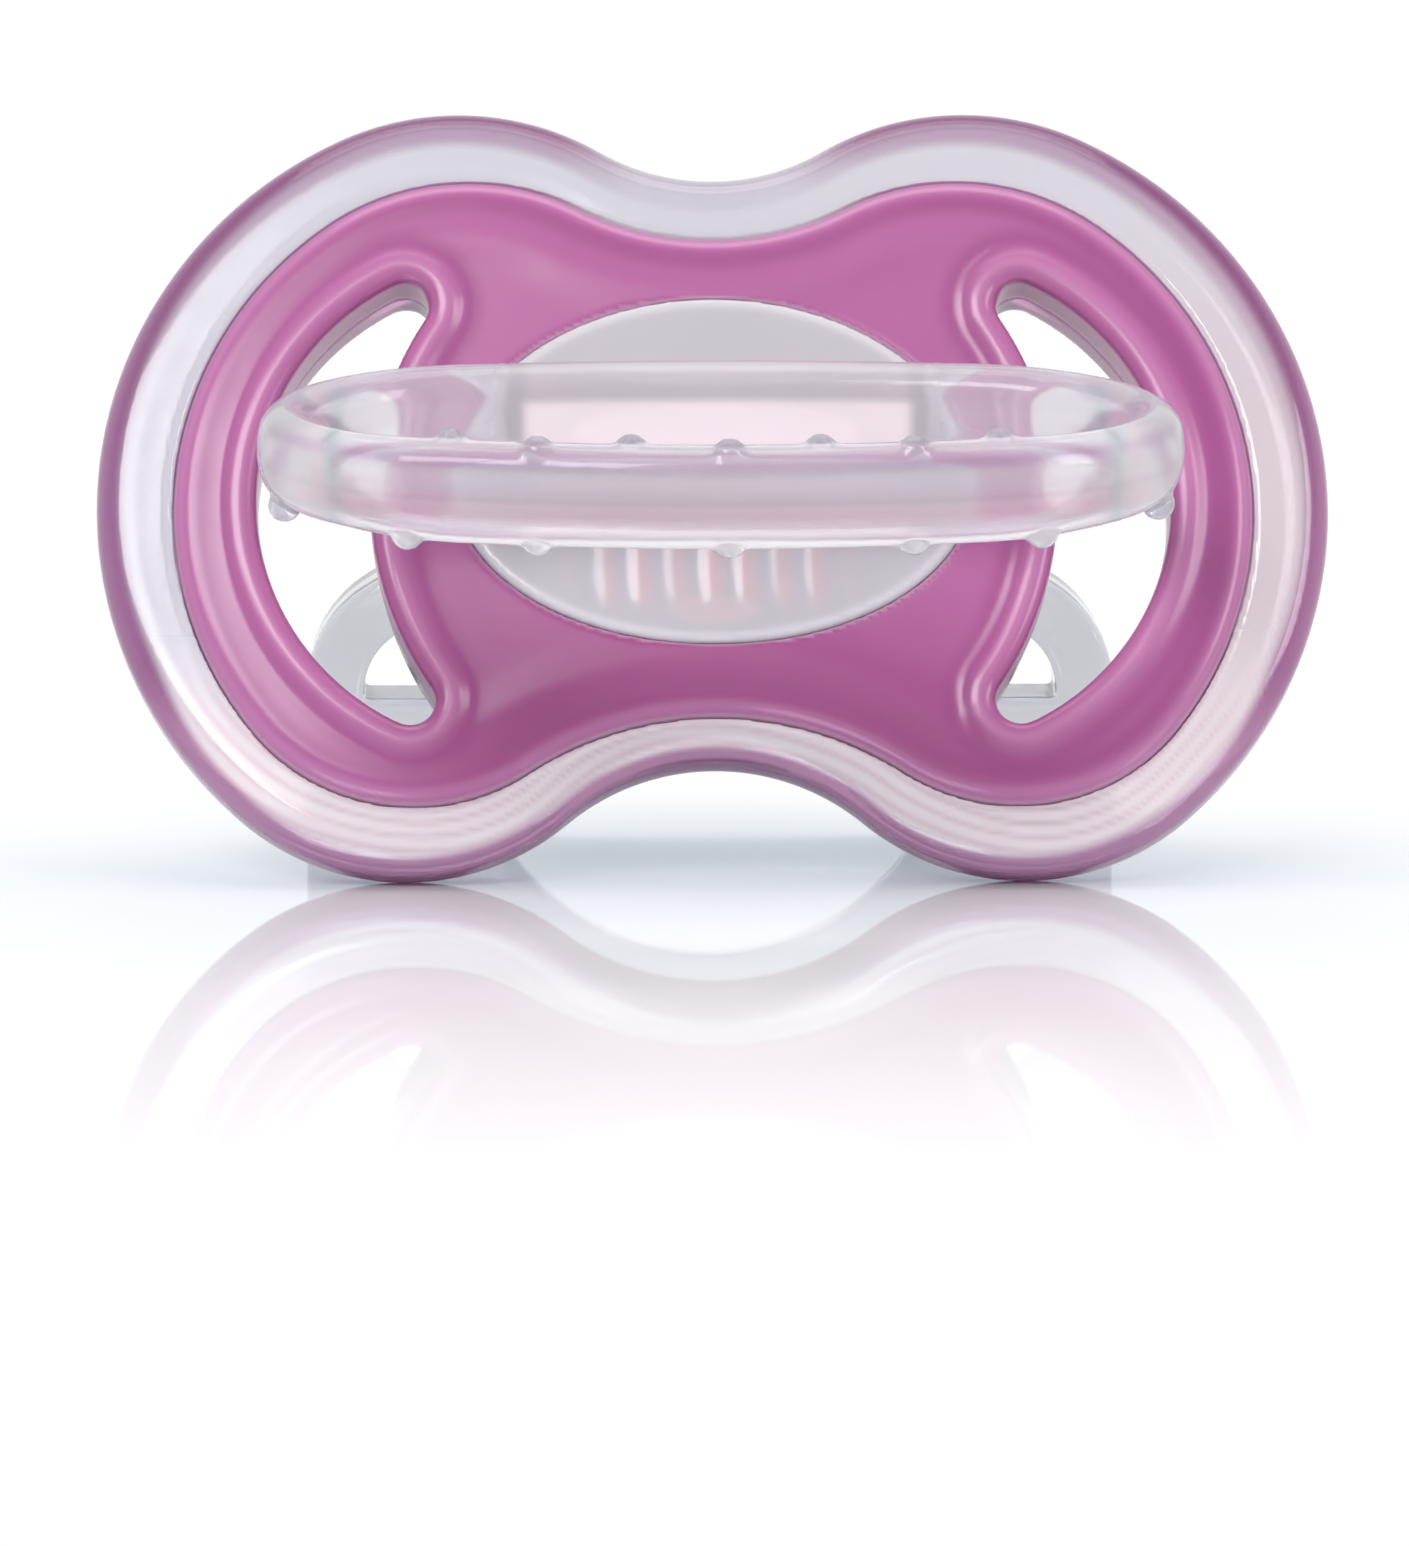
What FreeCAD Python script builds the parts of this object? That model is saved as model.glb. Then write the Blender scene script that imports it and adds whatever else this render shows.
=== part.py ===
import FreeCAD, Part
import math
import os

import Sketcher

# A pacifier with a closed teething loop, standing on the two lower lobes of its shield and on the
# feet of its swinging handle. Millimetres, +X to the side, +Y to the back, +Z up, floor at Z 0.
#
# Shield pieces are drawn in the shield's own frame: X to the side, Y through the shield from the
# face side (0) to the back, Z up the shield, origin at the middle of the mouthpiece's base disc.
# The handle is drawn hanging straight down from its hinge axis, which is its own X axis.

Vector = FreeCAD.Vector
SIDEWAYS = Vector(1, 0, 0)
LAST_TOP_NUB = 3
doc = FreeCAD.newDocument("pacifier")

DIMENSIONS = {
    # how the object stands
    "lean_back": (22.0, "shield leans back, degrees"),
    "shield_y": (7.644, "disc centre to the middle of the footprint"),
    "shield_rise": (19.82, "disc centre above the floor"),
    "handle_angle": (5.0, "handle's feet stand behind its hinge, degrees"),
    # clear shield base
    "base_thickness": (4.6, "face to back"),
    "base_top_x": (12.4, "upper lobe centre"),
    "base_top_z": (4.9, "upper lobe centre"),
    "base_top_radius": (13.5, "upper lobe"),
    "base_low_x": (14.9, "lower lobe centre"),
    "base_low_z": (-8.2, "lower lobe centre"),
    "base_low_radius": (12.0, "lower lobe"),
    "base_side_radius": (20.7, "side of the shield"),
    "base_top_waist": (10.5, "hollow of the upper edge"),
    "base_low_waist": (10.9, "hollow of the lower edge"),
    "base_front_round": (1.7, "edge on the face side"),
    "base_back_round": (2.1, "edge on the back"),
    # coloured plate let into the base
    "plate_depth": (2.2, "depth of its seat in the base"),
    "plate_proud": (0.6, "stands out of the base"),
    "plate_top_x": (11.9, "upper lobe centre"),
    "plate_top_z": (2.75, "upper lobe centre"),
    "plate_top_radius": (11.7, "upper lobe"),
    "plate_low_x": (14.5, "lower lobe centre"),
    "plate_low_z": (-7.2, "lower lobe centre"),
    "plate_low_radius": (9.9, "lower lobe"),
    "plate_side_radius": (17.8, "side of the plate"),
    "plate_top_waist": (14.0, "hollow of the upper edge"),
    "plate_low_waist": (16.2, "hollow of the lower edge"),
    "plate_edge_round": (1.1, "front edge of the plate"),
    # crescent vents
    "vent_outer_x": (9.7, "centre of the outer edge"),
    "vent_outer_z": (-1.95, "centre of the outer edge"),
    "vent_outer_radius": (12.4, "outer edge"),
    "vent_inner_x": (-0.1, "centre of the inner edge, past the middle"),
    "vent_inner_z": (-1.8, "centre of the inner edge"),
    "vent_inner_radius": (16.75, "inner edge"),
    "vent_end_radius": (1.2, "rounded ends"),
    "vent_rim_width": (0.9, "raised rim round a vent"),
    "vent_rim_height": (0.5, "raised rim round a vent"),
    # silicone mouthpiece: base
    "disc_width": (25.2, "base disc"),
    "disc_height": (17.4, "base disc"),
    "disc_z": (-0.5, "middle of the disc"),
    "disc_seat": (0.4, "seat of the disc behind the base's face"),
    "disc_front": (0.9, "disc's face in front of the base's face"),
    "spigot_width": (18.8, "part through the shield"),
    "spigot_height": (11.2, "part through the shield"),
    "flange_width": (22.8, "rear flange"),
    "flange_height": (15.2, "rear flange"),
    "flange_thickness": (1.2, "rear flange"),
    # silicone mouthpiece: neck and loop
    "loop_height": (4.4, "top to bottom"),
    "loop_wall": (2.8, "thickness of the wall"),
    "loop_end_x": (11.5, "centre of a rounded end"),
    "loop_end_radius": (10.0, "outer face of a rounded end"),
    "loop_near_radius": (53.0, "outer face of the front wall"),
    "loop_far_radius": (90.0, "outer face of the wall at the neck"),
    "loop_edge_round": (1.3, "edges of the loop"),
    "loop_y": (-16.4, "middle of the loop from the disc centre, level"),
    "loop_rise": (2.05, "middle of the loop above the disc centre"),
    "loop_droop": (6.9, "loop slopes down to the front, degrees"),
    "neck_width": (20.0, "neck"),
    "neck_root_height": (5.6, "neck at the disc"),
    "neck_tip_height": (3.4, "neck at the loop"),
    "neck_root_z": (0.8, "middle of the neck above the disc centre"),
    "nub_radius": (0.78, "teething nubs"),
    "nub_pitch": (4.2, "from nub to nub along the loop"),
    "nub_row_shift": (0.4, "rows of nubs from the middle of the wall"),
    "nub_sink": (0.35, "nub centres below the loop's faces"),
    # plug inside the neck
    "plug_width": (14.0, "plug"),
    "plug_height": (3.0, "plug"),
    "plug_front": (4.6, "plug's tip in front of the base's face"),
    # rear cover with its hinge boss
    "cover_width": (26.4, "cover"),
    "cover_height": (18.6, "cover"),
    "cover_thickness": (2.4, "cover"),
    "boss_width": (13.2, "hinge boss"),
    "boss_height": (5.6, "hinge boss"),
    "boss_back": (12.4, "back of the boss from the base's face"),
    "hinge_depth": (9.8, "hinge axis from the base's face"),
    "hinge_bore_radius": (1.25, "bore through the boss"),
    # handle
    "handle_thickness": (4.6, "handle"),
    "handle_half_width": (20.1, "handle"),
    "handle_crown": (2.1, "top of the arch above the hinge axis"),
    "handle_crown_radius": (31.8, "top of the arch"),
    "handle_shoulder_radius": (6.4, "between arch and side"),
    "handle_band": (2.9, "width of the arch's band"),
    "handle_bar_top": (-8.6, "top of the cross bar from the hinge axis"),
    "handle_foot": (-16.07, "sole from the hinge axis"),
    "handle_notch_rise": (5.5, "hollow between the feet"),
    "handle_notch_radius": (12.2, "hollow between the feet"),
    "handle_edge_round": (0.8, "edges"),
    "handle_gap": (14.0, "opening of the arch for the boss"),
    "eye_radius": (2.2, "rounded ends of the arch"),
    "eye_length": (2.6, "rounded ends of the arch"),
    "peg_radius": (1.2, "hinge pegs"),
    "peg_length": (3.0, "hinge pegs beyond the eye"),
}


def make_sheet():
    sheet = doc.addObject("Spreadsheet::Sheet", "dims")
    for row, (name, (value, note)) in enumerate(DIMENSIONS.items(), start=1):
        sheet.set(f"A{row}", name)
        sheet.set(f"B{row}", str(value))
        sheet.setAlias(f"B{row}", name)
        sheet.set(f"C{row}", note)
    doc.recompute()
    return sheet


sheet = make_sheet()


def dim(name):
    return float(sheet.get(name))


def bind(thing, **expressions):
    for field, expression in expressions.items():
        thing.setExpression(field.replace("__", "."), expression)


# ---------------------------------------------------------------- sketches


def add_body(name):
    return doc.addObject("PartDesign::Body", name)


def origin_plane(body, role):
    return next(f for f in body.Origin.OriginFeatures if f.Role == role)


def add_sketch(body, name, role="XZ_Plane", depth="0"):
    """A sketch on an origin plane. On XZ, sketch Y is the body's Z, and depth is along its Y."""
    sketch = body.newObject("Sketcher::SketchObject", name)
    sketch.AttachmentSupport = [(origin_plane(body, role), "")]
    sketch.MapMode = "FlatFace"
    sketch.setExpression("AttachmentOffset.Base.z", f"-({depth})")
    return sketch


def dimension(sketch, constraint, name, expression):
    sketch.addConstraint(constraint)
    sketch.renameConstraint(sketch.ConstraintCount - 1, name)
    sketch.setExpression("Constraints." + name, expression)


def add_arc(sketch, centre, start, end):
    """An arc anticlockwise from start to end."""
    radius = (start - centre).Length
    first = math.atan2(start.y - centre.y, start.x - centre.x)
    last = math.atan2(end.y - centre.y, end.x - centre.x)
    if last <= first:
        last += 2 * math.pi
    circle = Part.Circle(centre, Vector(0, 0, 1), radius)
    return sketch.addGeometry(Part.ArcOfCircle(circle, first, last), False)


def join(sketch, first, first_end, second, second_end):
    sketch.addConstraint(Sketcher.Constraint("Tangent", first, first_end, second, second_end))


def touch(sketch, first, first_end, second, second_end):
    sketch.addConstraint(Sketcher.Constraint("Coincident", first, first_end, second, second_end))


START, END, CENTRE, ORIGIN = 1, 2, 3, -1


def place_centre(sketch, arc, name, x_expression, z_expression, side):
    """Dimensions an arc's centre from the origin. side is 1 on the right and -1 on the left."""
    ends = (ORIGIN, START, arc, CENTRE) if side > 0 else (arc, CENTRE, ORIGIN, START)
    x_value = abs(sketch.Geometry[arc].Center.x)
    across = Sketcher.Constraint("DistanceX", *ends, x_value)
    dimension(sketch, across, name + "_x", x_expression)
    z_value = sketch.Geometry[arc].Center.y
    up = Sketcher.Constraint("DistanceY", ORIGIN, START, arc, CENTRE, z_value)
    dimension(sketch, up, name + "_z", z_expression)


def set_radius(sketch, arc, name, expression):
    radius = sketch.Geometry[arc].Radius
    dimension(sketch, Sketcher.Constraint("Radius", arc, radius), name + "_radius", expression)


def flip(point):
    return Vector(-point.x, point.y, 0)


def towards(start, end, distance):
    return start + (end - start).normalize() * distance


def circles_meet(first, first_radius, second, second_radius, side):
    """Where two circles meet. side is 1 for the meeting point on the right of first to second."""
    gap = (second - first).Length
    along = (gap**2 + first_radius**2 - second_radius**2) / (2 * gap)
    across = math.sqrt(first_radius**2 - along**2)
    way = (second - first).normalize()
    return first + way * along + Vector(way.y, -way.x, 0) * across * side


def bow_tie(sketch, prefix):
    """A closed outline of two wide lobes joined at a waist: ten dimensions, all arcs tangent."""
    top_radius = dim(prefix + "_top_radius")
    low_radius = dim(prefix + "_low_radius")
    side_radius = dim(prefix + "_side_radius")
    top = Vector(dim(prefix + "_top_x"), dim(prefix + "_top_z"), 0)
    low = Vector(dim(prefix + "_low_x"), dim(prefix + "_low_z"), 0)
    side = circles_meet(top, side_radius - top_radius, low, side_radius - low_radius, 1)
    top_reach = dim(prefix + "_top_waist") + top_radius
    low_reach = dim(prefix + "_low_waist") + low_radius
    top_waist = Vector(0, top.y + math.sqrt(top_reach**2 - top.x**2), 0)
    low_waist = Vector(0, low.y - math.sqrt(low_reach**2 - low.x**2), 0)
    waist_to_top = towards(top, top_waist, top_radius)
    top_to_side = towards(side, top, side_radius)
    side_to_low = towards(side, low, side_radius)
    low_to_waist = towards(low, low_waist, low_radius)

    low_hollow = add_arc(sketch, low_waist, low_to_waist, flip(low_to_waist))
    right_low = add_arc(sketch, low, low_to_waist, side_to_low)
    right_side = add_arc(sketch, side, side_to_low, top_to_side)
    right_top = add_arc(sketch, top, top_to_side, waist_to_top)
    top_hollow = add_arc(sketch, top_waist, flip(waist_to_top), waist_to_top)
    left_top = add_arc(sketch, flip(top), flip(waist_to_top), flip(top_to_side))
    left_side = add_arc(sketch, flip(side), flip(top_to_side), flip(side_to_low))
    left_low = add_arc(sketch, flip(low), flip(side_to_low), flip(low_to_waist))
    join(sketch, low_hollow, START, right_low, START)
    join(sketch, right_low, END, right_side, START)
    join(sketch, right_side, END, right_top, START)
    join(sketch, right_top, END, top_hollow, END)
    join(sketch, top_hollow, START, left_top, START)
    join(sketch, left_top, END, left_side, START)
    join(sketch, left_side, END, left_low, START)
    join(sketch, left_low, END, low_hollow, END)
    for name, arc, kind, sign in (
        ("right_top", right_top, "top", 1),
        ("left_top", left_top, "top", -1),
        ("right_low", right_low, "low", 1),
        ("left_low", left_low, "low", -1),
    ):
        place_centre(sketch, arc, name, f"dims.{prefix}_{kind}_x", f"dims.{prefix}_{kind}_z", sign)
        set_radius(sketch, arc, name, f"dims.{prefix}_{kind}_radius")
    set_radius(sketch, right_side, "right_side", f"dims.{prefix}_side_radius")
    set_radius(sketch, left_side, "left_side", f"dims.{prefix}_side_radius")
    set_radius(sketch, top_hollow, "top_hollow", f"dims.{prefix}_top_waist")
    set_radius(sketch, low_hollow, "low_hollow", f"dims.{prefix}_low_waist")


def crescent(sketch, side, margin):
    """A vent's outline, grown by the margin, which is an expression. side is 1 on the right."""
    grow = 0.0 if margin == "0" else dim(margin)
    extra = "0" if margin == "0" else f"dims.{margin}"
    outer_radius = dim("vent_outer_radius") + grow
    inner_radius = dim("vent_inner_radius") - grow
    end_radius = dim("vent_end_radius") + grow
    outer = Vector(dim("vent_outer_x"), dim("vent_outer_z"), 0)
    inner = Vector(dim("vent_inner_x"), dim("vent_inner_z"), 0)
    reach = (outer_radius - end_radius, inner_radius + end_radius)
    low_end = circles_meet(outer, reach[0], inner, reach[1], -1)
    top_end = circles_meet(outer, reach[0], inner, reach[1], 1)
    if low_end.y > top_end.y:
        low_end, top_end = top_end, low_end
    outer_low = towards(outer, low_end, outer_radius)
    outer_top = towards(outer, top_end, outer_radius)
    inner_low = towards(inner, low_end, inner_radius)
    inner_top = towards(inner, top_end, inner_radius)
    if side > 0:
        outside = add_arc(sketch, outer, outer_low, outer_top)
        cap_top = add_arc(sketch, top_end, outer_top, inner_top)
        inside = add_arc(sketch, inner, inner_low, inner_top)
        cap_low = add_arc(sketch, low_end, inner_low, outer_low)
        join(sketch, outside, END, cap_top, START)
        join(sketch, cap_top, END, inside, END)
        join(sketch, inside, START, cap_low, START)
        join(sketch, cap_low, END, outside, START)
    else:
        outside = add_arc(sketch, flip(outer), flip(outer_top), flip(outer_low))
        cap_top = add_arc(sketch, flip(top_end), flip(inner_top), flip(outer_top))
        inside = add_arc(sketch, flip(inner), flip(inner_top), flip(inner_low))
        cap_low = add_arc(sketch, flip(low_end), flip(outer_low), flip(inner_low))
        join(sketch, outside, START, cap_top, END)
        join(sketch, cap_top, START, inside, START)
        join(sketch, inside, END, cap_low, END)
        join(sketch, cap_low, START, outside, END)
    word = "right" if side > 0 else "left"
    place_centre(sketch, outside, word + "_outer", "dims.vent_outer_x", "dims.vent_outer_z", side)
    place_centre(sketch, inside, word + "_inner", "-dims.vent_inner_x", "dims.vent_inner_z", -side)
    set_radius(sketch, outside, word + "_outer", f"dims.vent_outer_radius + {extra}")
    set_radius(sketch, inside, word + "_inner", f"dims.vent_inner_radius - {extra}")
    set_radius(sketch, cap_top, word + "_cap_top", f"dims.vent_end_radius + {extra}")
    set_radius(sketch, cap_low, word + "_cap_low", f"dims.vent_end_radius + {extra}")


def both_crescents(sketch, margin="0"):
    crescent(sketch, 1, margin)
    crescent(sketch, -1, margin)


def ellipse(sketch, width, height, rise=None):
    """An ellipse wider than high, on the upright axis. width, height and rise are aliases."""
    long_half, short_half = dim(width) / 2, dim(height) / 2
    centre = Vector(0, dim(rise) if rise else 0.0, 0)
    across, up = Vector(long_half, 0, 0), Vector(0, short_half, 0)
    oval = sketch.addGeometry(Part.Ellipse(centre + across, centre + up, centre), False)
    sketch.exposeInternalGeometry(oval)
    if rise:
        sketch.addConstraint(Sketcher.Constraint("PointOnObject", oval, CENTRE, -2))
        level = Sketcher.Constraint("DistanceY", ORIGIN, START, oval, CENTRE, centre.y)
        dimension(sketch, level, "rise", f"dims.{rise}")
    else:
        touch(sketch, oval, CENTRE, ORIGIN, START)
    long_axis, short_axis = oval + 1, oval + 2
    sketch.addConstraint(Sketcher.Constraint("Horizontal", long_axis))
    wide = Sketcher.Constraint("Distance", long_axis, 2 * long_half)
    dimension(sketch, wide, "width", f"dims.{width}")
    high = Sketcher.Constraint("Distance", short_axis, 2 * short_half)
    dimension(sketch, high, "height", f"dims.{height}")


# ---------------------------------------------------------------- features


def add_pad(body, name, sketch, length):
    """A pad from the sketch's plane towards the face side, -Y."""
    pad = body.newObject("PartDesign::Pad", name)
    pad.Profile = sketch
    pad.setExpression("Length", length)
    doc.recompute()
    return pad


def add_pocket(body, name, sketch, length):
    """A pocket from the sketch's plane towards the back, +Y, that has to remove something."""
    before = body.Shape.Volume
    pocket = body.newObject("PartDesign::Pocket", name)
    pocket.Profile = sketch
    pocket.setExpression("Length", length)
    doc.recompute()
    if body.Shape.Volume > before - 0.1:
        raise RuntimeError(f"{name} cuts nothing")
    return pocket


def edges_at(shape, y):
    """Names of the edges that lie wholly at one depth."""
    names = []
    for number, edge in enumerate(shape.Edges, start=1):
        box = edge.BoundBox
        if abs(box.YMin - y) < 1e-4 and abs(box.YMax - y) < 1e-4:
            names.append(f"Edge{number}")
    return names


def add_fillet(body, name, edges, radius):
    base = body.Tip
    fillet = body.newObject("PartDesign::Fillet", name)
    fillet.Base = (base, edges)
    fillet.setExpression("Radius", radius)
    doc.recompute()
    return fillet


# ---------------------------------------------------------------- shield


def make_shield_base():
    body = add_body("shield_base")
    outline = add_sketch(body, "base_outline", depth="dims.base_thickness")
    bow_tie(outline, "base")
    add_pad(body, "base_pad", outline, "dims.base_thickness")
    front = edges_at(body.Shape, 0)
    add_fillet(body, "base_front_edge", front, "dims.base_front_round")
    back = edges_at(body.Shape, dim("base_thickness"))
    add_fillet(body, "base_back_edge", back, "dims.base_back_round")
    seat = add_sketch(body, "plate_seat_outline")
    bow_tie(seat, "plate")
    add_pocket(body, "plate_seat", seat, "dims.plate_depth")
    vents = add_sketch(body, "base_vent_outlines")
    both_crescents(vents)
    add_pocket(body, "base_vents", vents, "dims.base_thickness + 1")
    hole = add_sketch(body, "base_hole_outline")
    ellipse(hole, "spigot_width", "spigot_height")
    add_pocket(body, "base_hole", hole, "dims.base_thickness + 1")
    return body


def make_shield_plate():
    body = add_body("shield_plate")
    outline = add_sketch(body, "plate_outline", depth="dims.plate_depth")
    bow_tie(outline, "plate")
    add_pad(body, "plate_pad", outline, "dims.plate_depth + dims.plate_proud")
    front = edges_at(body.Shape, -dim("plate_proud"))
    add_fillet(body, "plate_edge", front, "dims.plate_edge_round")
    rims = add_sketch(body, "vent_rim_outlines", depth="0")
    both_crescents(rims, "vent_rim_width")
    add_pad(body, "vent_rims", rims, "dims.plate_proud + dims.vent_rim_height")
    vents = add_sketch(body, "plate_vent_outlines", depth="-dims.plate_proud - dims.vent_rim_height")
    both_crescents(vents)
    add_pocket(body, "plate_vents", vents, "dims.plate_depth + dims.plate_proud + 2")
    seat = add_sketch(body, "disc_seat_outline", depth="-dims.plate_proud")
    ellipse(seat, "disc_width", "disc_height", "disc_z")
    add_pocket(body, "disc_seat", seat, "dims.plate_proud + dims.disc_seat")
    hole = add_sketch(body, "plate_hole_outline", depth="-dims.plate_proud")
    ellipse(hole, "spigot_width", "spigot_height")
    add_pocket(body, "plate_hole", hole, "dims.plate_depth + dims.plate_proud + 1")
    return body


# ---------------------------------------------------------------- mouthpiece


def oval_pad(name, width, height, back, length, rise=None):
    """A body that is one elliptical pad. back and length are expressions."""
    body = add_body(name)
    outline = add_sketch(body, name + "_outline", depth=back)
    ellipse(outline, width, height, rise)
    add_pad(body, name + "_pad", outline, length)
    return body


def loop_outline(sketch, inset):
    """The loop seen from above: two flat curves joined by round ends. inset is an expression."""
    inner = inset != "0"
    step = dim(inset) if inner else 0.0
    less = f" - dims.{inset}" if inner else ""
    end_radius = dim("loop_end_radius") - step
    near_radius = dim("loop_near_radius") - step
    far_radius = dim("loop_far_radius") - step
    end = Vector(dim("loop_end_x"), 0, 0)
    near = Vector(0, math.sqrt((near_radius - end_radius) ** 2 - end.x**2), 0)
    far = Vector(0, -math.sqrt((far_radius - end_radius) ** 2 - end.x**2), 0)
    near_joint = towards(near, end, near_radius)
    far_joint = towards(far, end, far_radius)
    near_arc = add_arc(sketch, near, flip(near_joint), near_joint)
    right = add_arc(sketch, end, near_joint, far_joint)
    far_arc = add_arc(sketch, far, far_joint, flip(far_joint))
    left = add_arc(sketch, flip(end), flip(far_joint), flip(near_joint))
    join(sketch, near_arc, END, right, START)
    join(sketch, right, END, far_arc, START)
    join(sketch, far_arc, END, left, START)
    join(sketch, left, END, near_arc, START)
    word = "inner" if inner else "outer"
    place_centre(sketch, right, word + "_right", "dims.loop_end_x", "0", 1)
    place_centre(sketch, left, word + "_left", "dims.loop_end_x", "0", -1)
    set_radius(sketch, right, word + "_right", "dims.loop_end_radius" + less)
    set_radius(sketch, left, word + "_left", "dims.loop_end_radius" + less)
    set_radius(sketch, near_arc, word + "_near", "dims.loop_near_radius" + less)
    set_radius(sketch, far_arc, word + "_far", "dims.loop_far_radius" + less)


def make_loop():
    """The loop lies in its own XY plane, with its front wall at -Y."""
    body = add_body("loop_ring")
    outline = add_sketch(body, "loop_outline", "XY_Plane", depth="dims.loop_height / 2")
    loop_outline(outline, "0")
    loop_outline(outline, "loop_wall")
    add_pad(body, "loop_pad", outline, "dims.loop_height")
    every = [f"Edge{n}" for n, edge in enumerate(body.Shape.Edges, start=1) if flat_edge(edge)]
    add_fillet(body, "loop_edges", every, "dims.loop_edge_round")
    return body


def flat_edge(edge):
    return edge.BoundBox.ZLength < 1e-4


def loop_centre_line():
    """The middle of the loop's wall: half the front wall and the right end, from the middle on."""
    half_wall = dim("loop_wall") / 2
    end_radius = dim("loop_end_radius") - half_wall
    near_radius = dim("loop_near_radius") - half_wall
    end = Vector(dim("loop_end_x"), 0, 0)
    near = Vector(0, math.sqrt((near_radius - end_radius) ** 2 - end.x**2), 0)
    front = near - Vector(0, near_radius, 0)
    joint = towards(near, end, near_radius)
    halfway = towards(near, (front + joint) / 2, near_radius)
    tip = end + Vector(end_radius, 0, 0)
    back = end + Vector(0, end_radius, 0)
    front_half = Part.Arc(front, halfway, joint).toShape()
    right_end = Part.Arc(joint, tip, back).toShape()
    return front_half, right_end


def nub_places():
    """Numbered spots for nubs, from the middle of the front wall round both ends."""
    places = []
    travelled = 0.0
    count = 0
    for edge in loop_centre_line():
        while count * dim("nub_pitch") <= travelled + edge.Length:
            parameter = edge.getParameterByLength(count * dim("nub_pitch") - travelled)
            heading = edge.tangentAt(parameter)
            outward = Vector(heading.y, -heading.x, 0) * dim("nub_row_shift")
            row = outward if count % 2 == 0 else -outward
            place = edge.valueAt(parameter) + row
            places.append((count, place))
            if count:
                places.append((count, flip(place)))
            count += 1
        travelled += edge.Length
    return places


def primitive(kind, name, place, **sizes):
    """A Part primitive with its sizes bound to expressions."""
    thing = doc.addObject("Part::" + kind, name)
    bind(thing, **sizes)
    thing.Placement = place
    return thing


def in_frame(frame, x, y, z, turn=None):
    rotation = FreeCAD.Rotation() if turn is None else turn
    return frame.multiply(FreeCAD.Placement(Vector(x, y, z), rotation))


def shield_frame():
    spot = Vector(0, dim("shield_y"), dim("shield_rise"))
    return FreeCAD.Placement(spot, FreeCAD.Rotation(SIDEWAYS, -dim("lean_back")))


def loop_frame():
    spot = Vector(0, dim("shield_y") + dim("loop_y"), dim("shield_rise") + dim("loop_rise"))
    return FreeCAD.Placement(spot, FreeCAD.Rotation(SIDEWAYS, dim("loop_droop")))


def make_nubs():
    """A close row on top of the front wall, and every second spot all round underneath."""
    top_level = dim("loop_height") / 2 - dim("nub_sink")
    levels = []
    for count, place in nub_places():
        if count <= LAST_TOP_NUB:
            levels.append((place, top_level))
        if count % 2 == 0:
            levels.append((place, -top_level))
    nubs = []
    for number, (place, level) in enumerate(levels, start=1):
        spot = in_frame(loop_frame(), place.x, place.y, level)
        nubs.append(primitive("Sphere", f"nub_{number}", spot, Radius="dims.nub_radius"))
    return nubs


def make_neck():
    """A flat neck, lofted from the disc to the far wall of the loop."""
    facing_out = FreeCAD.Rotation(SIDEWAYS, 90)
    root = in_frame(shield_frame(), 0, 0, dim("neck_root_z"), facing_out)
    wall_y = dim("loop_end_radius") - dim("loop_wall") / 2 + 0.8
    tip = in_frame(loop_frame(), 0, wall_y, 0, facing_out)
    middle_angle = (dim("loop_droop") - dim("lean_back")) / 2
    middle_turn = FreeCAD.Rotation(SIDEWAYS, 90 + middle_angle)
    middle_spot = (root.Base + tip.Base) / 2
    lift = Vector(0, 0, 0.35)
    middle = FreeCAD.Placement(middle_spot + lift, middle_turn)
    rings = []
    for name, place, height in (
        ("neck_root", root, "dims.neck_root_height / 2"),
        ("neck_middle", middle, "(dims.neck_root_height + dims.neck_tip_height) / 4"),
        ("neck_tip", tip, "dims.neck_tip_height / 2"),
    ):
        sizes = {"MajorRadius": "dims.neck_width / 2", "MinorRadius": height}
        rings.append(primitive("Ellipse", name, place, **sizes))
    neck = doc.addObject("Part::Loft", "neck")
    neck.Sections = rings
    neck.Solid = True
    return neck


def make_neck_plug():
    body = oval_pad(
        "neck_plug",
        "plug_width",
        "plug_height",
        "dims.base_thickness + dims.flange_thickness",
        "dims.base_thickness + dims.flange_thickness + dims.plug_front",
    )
    body.Placement = in_frame(shield_frame(), 0, 0, dim("neck_root_z"))
    return body


def make_mouthpiece(plug):
    """One silicone moulding: base disc, spigot, rear flange, neck, loop and nubs."""
    disc = oval_pad(
        "disc",
        "disc_width",
        "disc_height",
        "dims.disc_seat",
        "dims.disc_seat + dims.disc_front",
        "disc_z",
    )
    spigot = oval_pad(
        "spigot", "spigot_width", "spigot_height", "dims.base_thickness", "dims.base_thickness"
    )
    flange = oval_pad(
        "flange",
        "flange_width",
        "flange_height",
        "dims.base_thickness + dims.flange_thickness",
        "dims.flange_thickness",
    )
    for piece in (disc, spigot, flange):
        piece.Placement = shield_frame()
    loop = make_loop()
    loop.Placement = loop_frame()
    whole = doc.addObject("Part::MultiFuse", "mouthpiece_whole")
    whole.Shapes = [loop, make_neck(), disc, spigot, flange] + make_nubs()
    hollow = doc.addObject("Part::Cut", "mouthpiece")
    hollow.Base = whole
    hollow.Tool = plug
    return hollow


# ---------------------------------------------------------------- rear cover


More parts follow.
